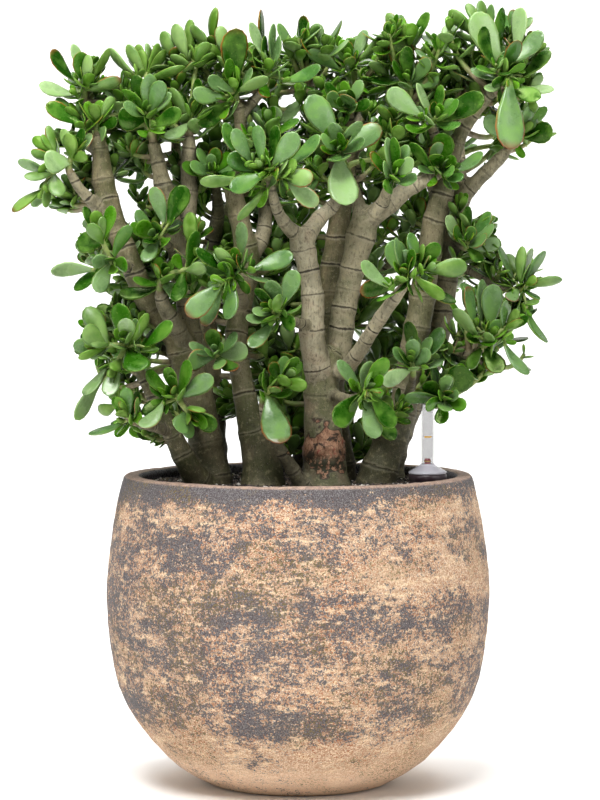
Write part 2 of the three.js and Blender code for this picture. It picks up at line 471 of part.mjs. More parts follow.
// A fused piece loses the slivers that fusing left, where the piece stays sound.
function trimmed(whole) {
  const bodies = whole.asOriginal().simplify(fuseTolerance).decompose();
  return bodies.length === 1 && isSound(bodies[0]) ? bodies[0] : whole;
}

// A skin through rings of points, each with the same number, run anticlockwise seen from the far
// end. Each end is closed by a fan, or by the single point given for it.
function skin(rings, apex, foot) {
  const n = rings[0].length;
  const points = rings.flat();
  const faces = [];
  for (let r = 0; r + 1 < rings.length; r++)
    for (let i = 0; i < n; i++) {
      const a = r * n + i;
      const b = r * n + ((i + 1) % n);
      faces.push(a, b, b + n, a, b + n, a + n);
    }
  if (foot) {
    points.push(foot);
    for (let i = 0; i < n; i++) faces.push((i + 1) % n, i, points.length - 1);
  } else {
    for (let i = 1; i + 1 < n; i++) faces.push(0, i + 1, i);
  }
  const last = (rings.length - 1) * n;
  if (apex) {
    points.push(apex);
    for (let i = 0; i < n; i++) faces.push(last + i, last + ((i + 1) % n), points.length - 1);
  } else {
    for (let i = 1; i + 1 < n; i++) faces.push(last, last + i, last + i + 1);
  }
  const geometry = new THREE.BufferGeometry().setFromPoints(points);
  geometry.setIndex(faces);
  return geometry;
}

// A tapering tube along a curve: the radii are spread evenly over it.
function tube(curve, radii, sides, steps) {
  const rings = [];
  const across = new THREE.Vector3(1, 0, 0);
  for (let s = 0; s <= steps; s++) {
    const t = s / steps;
    const centre = curve.getPoint(t);
    const along = curve.getTangent(t);
    across.addScaledVector(along, -across.dot(along)).normalize();
    const up = new THREE.Vector3().crossVectors(along, across);
    const f = t * (radii.length - 1);
    const i = Math.min(Math.floor(f), radii.length - 2);
    const radius = radii[i] + (radii[i + 1] - radii[i]) * (f - i);
    rings.push(
      Array.from({ length: sides }, (_, k) => {
        const a = (2 * Math.PI * k) / sides;
        return centre
          .clone()
          .addScaledVector(across, radius * Math.cos(a))
          .addScaledVector(up, radius * Math.sin(a));
      }),
    );
  }
  return skin(rings);
}

function stepsOf(curve) {
  return Math.max(2, Math.round(curve.getLength() / stationLength));
}

// A round piece turned from [radius, height] pairs.
function turned(profile, sides, x = 0, y = 0) {
  const points = profile.map(([r, z]) => new THREE.Vector2(r, z));
  const geometry = new THREE.LatheGeometry(points, sides);
  geometry.rotateX(Math.PI / 2);
  geometry.translate(x, y, 0);
  return geometry;
}

// The profile of a plain round column.
function column(radius, bottom, top) {
  return [[0, bottom], [radius, bottom], [radius, top], [0, top]];
}

// ---- pot and grit ----
const soilTop = pot.height - soil.drop;

// The wall's curve from its lowest point up to the lip, moved in towards the axis by "inset".
function wallCurve(outline, lipRadius, steps, inset = 0) {
  const points = [...outline, [lipRadius, pot.height - pot.lip]];
  const curve = new THREE.SplineCurve(points.map(([r, z]) => new THREE.Vector2(r - inset, z)));
  return curve.getPoints(steps).map((p) => [p.x, p.y]);
}

function makePot() {
  const mouth = pot.rim - pot.wall;
  const profile = [
    [0, 0],
    ...wallCurve(potOutside, pot.rim, 8),
    [pot.rim - pot.lip, pot.height],
    [mouth + pot.lip, pot.height],
    ...wallCurve(potInside, mouth, 4).reverse(),
    [0, pot.floor],
  ];
  return solid(turned(profile, pot.sides));
}

function makeSoil(holes) {
  const wall = wallCurve(potInside, pot.rim - pot.wall, 4, gap).filter(([, z]) => z < soilTop);
  const [topRadius] = wallCurve(potInside, pot.rim - pot.wall, 64, gap).find(([, z]) => z >= soilTop);
  const profile = [[0, pot.floor + gap], [wall[0][0], pot.floor + gap], ...wall.slice(1),
    [topRadius - 1, soilTop], [0, soilTop]];
  return holes.reduce((grit, hole) => grit.subtract(hole), solid(turned(profile, pot.sides)));
}

// ---- water-level gauge ----
function makeGauge() {
  const { foot, footTop, tube: outer, bore, top } = gauge;
  const bottom = soilTop - gauge.sunk;
  const neck = footTop + gauge.shoulder;
  const start = footTop + gap;
  const turn = (profile, sides) => solid(turned(profile, sides, gauge.x, gauge.y));
  return {
    foot: turn([[bore, bottom], [foot, bottom], [foot, footTop], [bore, footTop], [bore, bottom]], gauge.sides),
    tube: turn([[bore, start], [foot, start], [foot, start + 2], [outer, neck], [outer, top - 4],
      [outer - 3, top], [0, top], [0, top - 2.5], [bore, top - 6], [bore, start]], gauge.sides),
    float: turn(column(gaugeFloat.radius, bottom, gaugeFloat.head), gaugeFloat.sides),
    hole: turn(column(foot + gap, bottom - gap, soilTop + 5), gauge.sides),
  };
}

// ---- stems ----
const limbEnds = new Map();
const placed = []; // what a leaf has to stay clear of: { owner, shape, box }

function boxOf(shape) {
  const { min, max } = shape.boundingBox();
  return new THREE.Box3(new THREE.Vector3(...min), new THREE.Vector3(...max));
}

function note(owner, shape) {
  placed.push({ owner, shape, box: boxOf(shape) });
  return shape;
}

function makeStem(name, limbs) {
  const parts = limbs.map((limb) => {
    const radii = limb.path.map((p) => p[3]);
    const curve = new THREE.CatmullRomCurve3(limb.path.map(placeStem), false, "centripetal");
    const [, , depth, radius] = limb.path.at(-1);
    const deeper = spreadDepth(depth) - depth;
    limbEnds.set(limb.name, { point: curve.getPoint(1), along: curve.getTangent(1), radius, deeper });
    const sides = radii[0] > 15 ? 7 : 5;
    return note(name, solid(tube(curve, radii, sides, stepsOf(curve))));
  });
  // The stem is cut off at the grit, and a round plug under the cut stands in a plain hole.
  const { path: [root, ...rest] } = limbs[0];
  const curve = new THREE.CatmullRomCurve3([root, ...rest].map(placeStem), false, "centripetal");
  let t = 0;
  while (curve.getPoint(t).z < soilTop) t += 0.002;
  const { x, y } = curve.getPoint(t);
  const radius = root[3] * plug.share;
  const bottom = soilTop - soil.hole;
  const below = new THREE.BoxGeometry(600, 600, 300);
  below.translate(0, 0, soilTop + gap - 150);
  const foot = solid(turned(column(radius, bottom, soilTop + plug.rise), plug.sides, x, y));
  const whole = fuse(wasm.Manifold.union(parts).subtract(solid(below)), foot);
  if (!whole) throw new Error(`${name} doesn't fuse`);
  const hole = solid(turned(column(radius + gap, bottom - gap, soilTop + 9), plug.sides, x, y));
  return { name, whole, hole };
}

// ---- leaves ----
// A leaf is a spoon-shaped blade from base to tip. Its upper face looks along "face". Each
// station is [share of the length, share of the half width, share of the thickness].
const stations = [
  [0.46, 0.86, 1],
  [0.86, 0.84, 0.8],
];
const wideStations = [
  [0.36, 0.74, 1],
  [0.68, 1, 0.95],
  [0.91, 0.7, 0.7],
];
const smallStations = [[0.66, 1.12, 1]]; // for the small leaves and the slimmest large ones
const leanest = { share: 0.44, most: 15 }; // the least width of a blade, from its length
const leafRoot = 1.2; // how far from the middle of its shoot a blade starts
const leafArch = 0.07; // how far the middle of a blade sags from the line between its ends
const leafCup = 0.1; // how far its sides turn up, as a share of the half width

function leafGeometry({ base, tip, face, width, rows }, grow) {
  const along = tip.clone().sub(base);
  const length = along.length();
  along.normalize();
  const up = face.clone().addScaledVector(along, -face.dot(along)).normalize();
  const side = new THREE.Vector3().crossVectors(along, up);
  const end = tip.clone().addScaledVector(along, grow);
  const root = base.clone().addScaledVector(along, leafRoot - grow);
  const rings = rows.map(([s, w, h]) => {
    const middle = base.clone().addScaledVector(along, s * length);
    middle.addScaledVector(up, -4 * leafArch * length * s * (1 - s));
    const half = (w * width) / 2 + grow;
    const thick = (h * leafThickness) / 2 + grow;
    const raised = leafCup * half;
    return [
      middle.clone().addScaledVector(side, half).addScaledVector(up, raised + thick * 0.3),
      middle.clone().addScaledVector(side, -half).addScaledVector(up, raised + thick * 0.3),
      middle.clone().addScaledVector(up, -thick * 1.3),
    ];
  });
  return skin(rings.map((ring) => ring.reverse()), end, root);
}

// The upper face of a leaf looks to its shoot's axis, and is turned up where the two are in line.
function faceOf(along, axis) {
  const away = along.clone().addScaledVector(axis, -along.dot(axis));
  const sine = away.length();
  const cosine = along.dot(axis);
  if (sine < 0.05) return new THREE.Vector3(0, -1, 0);
  return axis.clone().multiplyScalar(sine).addScaledVector(away.divideScalar(sine), -cosine);
}

// The same small draw each time for the same seed.
function draws(seed) {
  let state = (seed * 2654435761) >>> 0;
  return () => {
    state = (Math.imul(state, 1664525) + 1013904223) >>> 0;
    return state / 4294967296;
  };
}

// A shoot's frame at its tip: the axis it grows along and two directions across it.
function shootFrame(axis, roll) {
  const u = new THREE.Vector3(0, 0, 1).cross(axis);
  if (u.length() < 0.1) u.set(1, 0, 0);
  u.normalize();
  const v = new THREE.Vector3().crossVectors(axis, u);
  return (angle) =>
    u.clone().multiplyScalar(Math.cos(angle + roll)).addScaledVector(v, Math.sin(angle + roll));
}

// Ways to bend a leaf clear of its neighbours, in the order they are tried.
const smallBends = [[0, 0, 1], [0.2, 0, 1], [-0.2, 0, 1], [0, 0.3, 1], [0, -0.3, 1], [0.2, 0.3, 0.9], [-0.2, -0.3, 0.9],
  [0.35, 0, 0.85], [-0.3, 0.3, 0.85], [0, 0, 0.75]];
const largeBends = [[0, 0, 1], [-8, 0, 1], [8, 0, 1], [-16, 0, 1], [0, 6, 1], [0, -6, 1], [16, 0, 0.95], [-12, 6, 0.9],
  [-12, -6, 0.9], [-24, 0, 0.95], [0, 0, 0.85], [10, 8, 0.85], [10, -8, 0.85], [-30, 0, 0.85], [0, 0, 0.72]];

function isClear(owner, shape) {
  const box = boxOf(shape);
  return !placed.some(
    (other) => other.owner !== owner && other.box.intersectsBox(box) && other.shape.intersect(shape).volume() > 0,
  );
}

// Each undirected edge of a merged mesh belongs to exactly two faces, run in opposite ways.
function isSound(shape) {
  const bare = geometryOf(shape);
  bare.deleteAttribute("normal");
  const { index, attributes } = mergeVertices(bare, 1e-3);
  const seen = new Set();
  const count = attributes.position.count;
  for (let i = 0; i < index.count; i += 3)
    for (let k = 0; k < 3; k++) {
      const edge = index.getX(i + k) * count + index.getX(i + ((k + 1) % 3));
      if (seen.has(edge)) return false;
      seen.add(edge);
    }
  return [...seen].every((edge) => seen.has((edge % count) * count + Math.floor(edge / count)));
}

// A leaf joins its spray where it is clear of every other piece, and where the two fuse soundly.
function seat(spray, base, tip, axis, width, rows) {
  const along = tip.clone().sub(base).normalize();
  const blade = { base, tip, face: faceOf(along, axis), width, rows };
  if (!isClear(spray.name, solid(leafGeometry(blade, leafMargin)))) return false;
  const leaf = solid(leafGeometry(blade, 0));
  const whole = fuse(spray.whole, leaf);
  if (!whole) return false;
  spray.whole = whole;
  note(spray.name, leaf);
  return true;
}

// Large leaves join their shoot lower down the more they spread from it.
function largeLeaf(spray, shoot, [across, down, depth, width]) {
  const rest = place([across, down, depth + shoot.deeper]);
  const splay = rest.clone().sub(shoot.tip).angleTo(shoot.axis);
  const base = shoot.tip.clone().addScaledVector(shoot.axis, -Math.min(2 + 4.5 * splay, shoot.room));
  for (const [deeper, sideways, share] of largeBends) {
    const along = rest.clone().sub(base);
    const across = new THREE.Vector3(along.z, 0, -along.x).normalize();
    const tip = base.clone().addScaledVector(along, share);
    tip.y += deeper;
    tip.addScaledVector(across, sideways);
    const broad = Math.max(width, Math.min(leanest.share * tip.distanceTo(base), leanest.most));
    const rows = broad < 12 ? smallStations : broad < 20 ? stations : wideStations;
    if (seat(spray, base, tip, shoot.axis, broad * Math.sqrt(share), rows)) return;
  }
  throw new Error(`${spray.name} has no room for the leaf to ${[across, down, depth]}`);
}

// Small crossed pairs: the youngest stand up at the tip, and each older pair is longer and spreads more.
function smallLeaves(spray, shoot, { pairs, size }, seed) {
  const draw = draws(seed);
  const around = shootFrame(shoot.axis, draw() * Math.PI);
  for (let pair = 0; pair < pairs; pair++)
    for (const half of [0, Math.PI]) {
      const turn = (pair * Math.PI) / 2 + half + (draw() - 0.5) * 0.4;
      const lean = 0.35 + 0.36 * pair + (draw() - 0.5) * 0.2;
      const length = size * (0.62 + 0.17 * pair + (draw() - 0.5) * 0.12);
      const width = length * (0.42 + 0.08 * draw());
      const base = shoot.tip.clone().addScaledVector(shoot.axis, -Math.min(1 + 4 * pair, shoot.room));
      for (const [tilt, swing, share] of smallBends) {
        const out = around(turn + swing);
        const along = shoot.axis
          .clone()
          .multiplyScalar(Math.cos(lean + tilt))
          .addScaledVector(out, Math.sin(lean + tilt));
        const tip = base.clone().addScaledVector(along, length * share);
        if (seat(spray, base, tip, shoot.axis, width * share, smallStations)) break;
      }
    }
}

// ---- sprays ----
// The first shoot goes on from the limb's cut end, and the others fork from it.
const forks = [0.3, 0.38, 0.22, 0.46, 0.54];

function makeShoot(from, heading, [across, down, depth], thick, deeper) {
  const tip = place([across, down, depth + deeper]);
  const reach = tip.distanceTo(from);
  const knee = from.clone().addScaledVector(heading, reach * 0.4);
  const curve = new THREE.QuadraticBezierCurve3(from, knee, tip);
  const steps = reach < 24 ? 1 : 2;
  const shape = solid(tube(curve, [thick, shootEnd], 4, steps));
  const axis = tip.clone().sub(curve.getPoint(1 - 1 / steps));
  const room = axis.length() * 0.8; // how far down the shoot a leaf may join it
  return { tip, axis: axis.normalize(), deeper, room, curve, shape };
}

function growShoots({ name, limb, shoots }) {
  const end = limbEnds.get(limb);
  const start = end.point.clone().addScaledVector(end.along, gap);
  const radius = Math.min(end.radius * 0.9, shootBase);
  const first = makeShoot(start, end.along, shoots[0].to, radius, end.deeper);
  const spray = { name, whole: first.shape, grown: [first] };
  for (const { to } of shoots.slice(1)) {
    for (const share of forks) {
      const heading = first.curve.getTangent(share);
      const fork = makeShoot(first.curve.getPoint(share), heading, to, radius * 0.8, end.deeper);
      const whole = fuse(spray.whole, fork.shape);
      if (whole) {
        spray.whole = whole;
        spray.grown.push(fork);
        break;
      }
    }
  }
  if (spray.grown.length < shoots.length) throw new Error(`a shoot of ${name} doesn't fuse`);
  for (const { shape } of spray.grown) {
    if (!isClear(name, shape)) throw new Error(`a shoot of ${name} meets another piece`);
    note(name, shape);
  }
  return spray;
}

function growLeaves(spray, shoots, number) {
  shoots.forEach(({ leaves = [], inner = { pairs: 0 } }, i) => {
    for (const leaf of leaves) largeLeaf(spray, spray.grown[i], leaf);
    smallLeaves(spray, spray.grown[i], inner, number * 8 + i);
  });
  return spray.whole;
}

// ---- the whole plant ----
const plant = new THREE.Group();

function add(name, shape, material) {
  const mesh = new THREE.Mesh(geometryOf(shape), material);
  mesh.name = name;
  plant.add(mesh);
}

const gaugeParts = makeGauge();
const stemParts = Object.entries(stems).map(([name, limbs]) => makeStem(name, limbs));
const holes = [...stemParts.map((stem) => stem.hole), gaugeParts.hole];

add("pot", note("pot", makePot()), finish.pot);
add("soil", note("soil", makeSoil(holes)), finish.soil);
add("gauge_foot", note("gauge", gaugeParts.foot), finish.dark);
add("gauge_tube", note("gauge", gaugeParts.tube), finish.clear);
add("gauge_float", gaugeParts.float, finish.red);
for (const { name, whole } of stemParts) add(name, trimmed(whole), finish.bark);

const grown = sprays.map(growShoots);
sprays.forEach(({ name, shoots }, i) => {
  add(name, trimmed(growLeaves(grown[i], shoots, i + 1)), finish.leaf);
});

export default plant;
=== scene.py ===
import json
import math
import random
import bpy
import numpy as np
from mathutils import Matrix, Vector, noise
from mathutils.kdtree import KDTree

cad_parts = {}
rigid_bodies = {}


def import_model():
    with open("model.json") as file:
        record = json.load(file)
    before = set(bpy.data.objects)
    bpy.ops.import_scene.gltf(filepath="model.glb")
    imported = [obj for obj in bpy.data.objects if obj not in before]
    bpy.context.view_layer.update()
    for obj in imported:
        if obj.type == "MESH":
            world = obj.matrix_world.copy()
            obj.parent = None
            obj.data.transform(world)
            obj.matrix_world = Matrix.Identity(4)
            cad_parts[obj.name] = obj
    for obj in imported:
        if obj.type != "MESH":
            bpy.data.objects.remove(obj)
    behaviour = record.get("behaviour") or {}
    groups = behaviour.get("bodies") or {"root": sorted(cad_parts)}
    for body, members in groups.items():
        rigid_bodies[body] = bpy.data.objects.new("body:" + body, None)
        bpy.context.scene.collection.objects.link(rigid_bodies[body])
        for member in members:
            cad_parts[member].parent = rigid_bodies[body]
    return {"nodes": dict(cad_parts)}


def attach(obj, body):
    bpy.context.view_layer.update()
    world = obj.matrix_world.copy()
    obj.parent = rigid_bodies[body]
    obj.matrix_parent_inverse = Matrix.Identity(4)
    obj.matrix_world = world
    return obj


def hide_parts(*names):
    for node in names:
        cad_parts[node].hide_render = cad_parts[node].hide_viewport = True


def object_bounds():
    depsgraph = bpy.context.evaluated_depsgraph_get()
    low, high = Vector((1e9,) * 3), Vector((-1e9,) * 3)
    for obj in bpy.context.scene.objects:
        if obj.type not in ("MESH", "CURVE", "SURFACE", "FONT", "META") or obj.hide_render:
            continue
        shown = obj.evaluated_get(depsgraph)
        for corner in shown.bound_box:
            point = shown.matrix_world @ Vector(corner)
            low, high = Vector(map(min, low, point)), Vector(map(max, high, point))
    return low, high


# Jade plant in a speckled stoneware pot, with a water-level gauge.
# The plant is worked out in millimetres and goes into its meshes in metres.
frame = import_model()
nodes = frame["nodes"]
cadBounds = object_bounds()
mm = 0.001
print("frame loaded,", len(nodes), "nodes")


def srgb(r, g, b):
    return tuple(((c / 255 + 0.055) / 1.055) ** 2.4 if c > 10 else c / 3295 for c in (r, g, b)) + (1,)


def newPiece(name, points, faces, edges=()):
    mesh = bpy.data.meshes.new(name)
    mesh.from_pydata([tuple(p) for p in points], list(edges), faces)
    mesh.update()
    piece = bpy.data.objects.new(name, mesh)
    bpy.context.collection.objects.link(piece)
    return piece


def setAttribute(mesh, name, kind, values):
    layer = mesh.attributes.new(name, kind, "POINT")
    field = {"FLOAT": "value", "INT": "value", "FLOAT_VECTOR": "vector"}[kind]
    layer.data.foreach_set(field, np.asarray(values, dtype=float if kind != "INT" else int).ravel())


def bake(piece):
    # the evaluated mesh takes the place of the piece's own, and its modifiers go
    graph = bpy.context.evaluated_depsgraph_get()
    mesh = bpy.data.meshes.new_from_object(piece.evaluated_get(graph), depsgraph=graph)
    piece.modifiers.clear()
    old = piece.data
    piece.data = mesh
    bpy.data.meshes.remove(old)
    mesh.name = piece.name
    return piece


def shadeSmooth(piece):
    piece.data.polygons.foreach_set("use_smooth", [True] * len(piece.data.polygons))


def readAll(items, key):
    values = np.empty(len(items) * 3)
    items.foreach_get(key, values)
    return values.reshape(-1, 3)


def readPoints(mesh):
    return readAll(mesh.vertices, "co")


def writePoints(mesh, points):
    mesh.vertices.foreach_set("co", np.asarray(points).ravel())
    mesh.update()


def readNormals(mesh):
    return readAll(mesh.vertex_normals, "vector")


def roughnessAt(points, size, seed=0):
    # smooth noise from -1 to 1, with lumps of about the given size in mm
    shift = Vector((seed * 17.3, seed * 5.1, seed * 9.7))
    return np.array([noise.noise(Vector(p) / size + shift) for p in points])


def ease(low, high, x):
    t = np.clip((x - low) / (high - low), 0, 1)
    return t * t * (3 - 2 * t)


class Tree:
    # a thin wrapper that adds nodes to a shader or geometry tree and links them
    def __init__(self, tree):
        self.tree = tree

    def add(self, kind, inputs=None, **settings):
        node = self.tree.nodes.new(kind)
        for key, value in settings.items():
            setattr(node, key, value)
        for key, value in (inputs or {}).items():
            socket = node.inputs[key]
            if isinstance(value, bpy.types.NodeSocket):
                self.link(value, socket)
            else:
                socket.default_value = value
        return node

    def link(self, value, socket):
        self.tree.links.new(value, socket)

    def maths(self, operation, a, b=0.0):
        return self.add("ShaderNodeMath", {0: a, 1: b}, operation=operation).outputs[0]

    def times(self, product, *factors):
        for factor in factors:
            product = self.maths("MULTIPLY", product, factor)
        return product

    def total(self, *parts):
        # the sum of values and of (value, share) pairs
        values = [self.times(*part) if isinstance(part, tuple) else part for part in parts]
        whole = values[0]
        for value in values[1:]:
            whole = self.maths("ADD", whole, value)
        return whole

    def mix(self, factor, a, b):
        return self.add("ShaderNodeMix", {"Factor": factor, 6: a, 7: b}, data_type="RGBA").outputs[2]

    def coats(self, base, *layers):
        # colours laid over a base one after another, each as far as its mask says
        for mask, colour in layers:
            base = self.mix(mask, base, srgb(*colour))
        return base

    def between(self, value, low, high, toLow=0.0, toHigh=1.0):
        node = self.add("ShaderNodeMapRange", {0: value, 1: low, 2: high, 3: toLow, 4: toHigh},
                        interpolation_type="SMOOTHSTEP")
        return node.outputs[0]

    def noise(self, vector, scale, detail=3.0, rough=0.55, distortion=0.0):
        node = self.add("ShaderNodeTexNoise", {"Vector": vector, "Scale": scale, "Detail": detail,
                                               "Roughness": rough, "Distortion": distortion})
        return node.outputs["Fac"]

    def stretched(self, vector, scale):
        return self.add("ShaderNodeMapping", {"Vector": vector, "Scale": scale}).outputs[0]

    def split(self, vector):
        return self.add("ShaderNodeSeparateXYZ", {0: vector}).outputs

    def painted(self, name, output="Vector"):
        return self.add("ShaderNodeAttribute", attribute_name=name).outputs[output]

    def named(self, name, kind="FLOAT"):
        return self.add("GeometryNodeInputNamedAttribute", {"Name": name}, data_type=kind).outputs[0]

    def skinned(self, geometry, material):
        return self.add("GeometryNodeSetMaterial", {"Geometry": geometry, "Material": material}).outputs[0]

    def realized(self, geometry):
        return self.add("GeometryNodeRealizeInstances", {"Geometry": geometry}).outputs[0]


def paintedCreviceShade(t, colour, reach, darkest):
    # painted shade: a colour darkened in the crevices between leaves and stems, as far as ambient occlusion finds each
    # spot hemmed in
    shade = t.add("ShaderNodeAmbientOcclusion", {"Distance": reach}, samples=3).outputs["AO"]
    return t.coats(colour, (t.between(shade, 0.5, 0.1, 0, darkest), (8, 14, 2)))


def finish(piece, node=None):
    # every piece rides on the one body, and most stand in for a solid
    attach(piece, "root")
    if node:
        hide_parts(node)


def standAt(thing, at, aim):
    # a camera or a lamp in its place, turned to what it looks at
    thing.location = at
    thing.rotation_euler = (Vector(aim) - Vector(at)).to_track_quat("-Z", "Y").to_euler()
    bpy.context.collection.objects.link(thing)


def newMaterial(name):
    material = bpy.data.materials.new(name)
    material.use_nodes = True
    tree = material.node_tree
    for node in list(tree.nodes):
        if node.type != "OUTPUT_MATERIAL":
            tree.nodes.remove(node)
    t = Tree(tree)
    shader = t.add("ShaderNodeBsdfPrincipled")
    t.link(shader.outputs[0], tree.nodes["Material Output"].inputs[0])
    return material, t, shader, t.add("ShaderNodeTexCoord").outputs["Object"]


def addBump(t, shader, height, strength, distance):
    bump = t.add("ShaderNodeBump", {"Height": height, "Strength": strength, "Distance": distance})
    t.link(bump.outputs[0], shader.inputs["Normal"])


def newGeometryTree(name, inputs):
    tree = bpy.data.node_groups.new(name, "GeometryNodeTree")
    tree.interface.new_socket("Geometry", in_out="INPUT", socket_type="NodeSocketGeometry")
    for label, kind in inputs.items():
        tree.interface.new_socket(label, in_out="INPUT", socket_type="NodeSocket" + kind)
    tree.interface.new_socket("Geometry", in_out="OUTPUT", socket_type="NodeSocketGeometry")
    t = Tree(tree)
    return t, t.add("NodeGroupInput").outputs, t.add("NodeGroupOutput")


def runTree(piece, t, values):
    modifier = piece.modifiers.new(t.tree.name, "NODES")
    modifier.node_group = t.tree
    for item in t.tree.interface.items_tree:
        if item.in_out == "INPUT" and item.name in values:
            modifier[item.identifier] = values[item.name]


view = {"eye": (0, -3.05, 0.543), "aim": (0.002, 0, 0.384), "lens": 137.4, "sensor": 36}


def makeCamera():
    data = bpy.data.cameras.new("camera")
    data.lens = view["lens"]
    data.sensor_width = view["sensor"]
    camera = bpy.data.objects.new("camera", data)
    standAt(camera, view["eye"], view["aim"])
    bpy.context.scene.camera = camera


makeCamera()
print("camera placed")

# The plant is drawn on a front sheet, 1 mm to the unit: (across, down, depth behind the pot's axis).
sheet = {"axis": 298, "ground": 784, "eyeHeight": 543, "eyeDistance": 3050}
spread = {"front": 2.1, "back": 1.15}  # stems are drawn shallow, and spread out by this


def place(across, down, depth):
    k = 1 + depth / sheet["eyeDistance"]
    height = sheet["ground"] - down - sheet["eyeHeight"]
    return Vector(((across - sheet["axis"]) * k, depth, sheet["eyeHeight"] + height * k))


def spreadDepth(depth):
    return depth * (spread["front"] if depth < 0 else spread["back"])


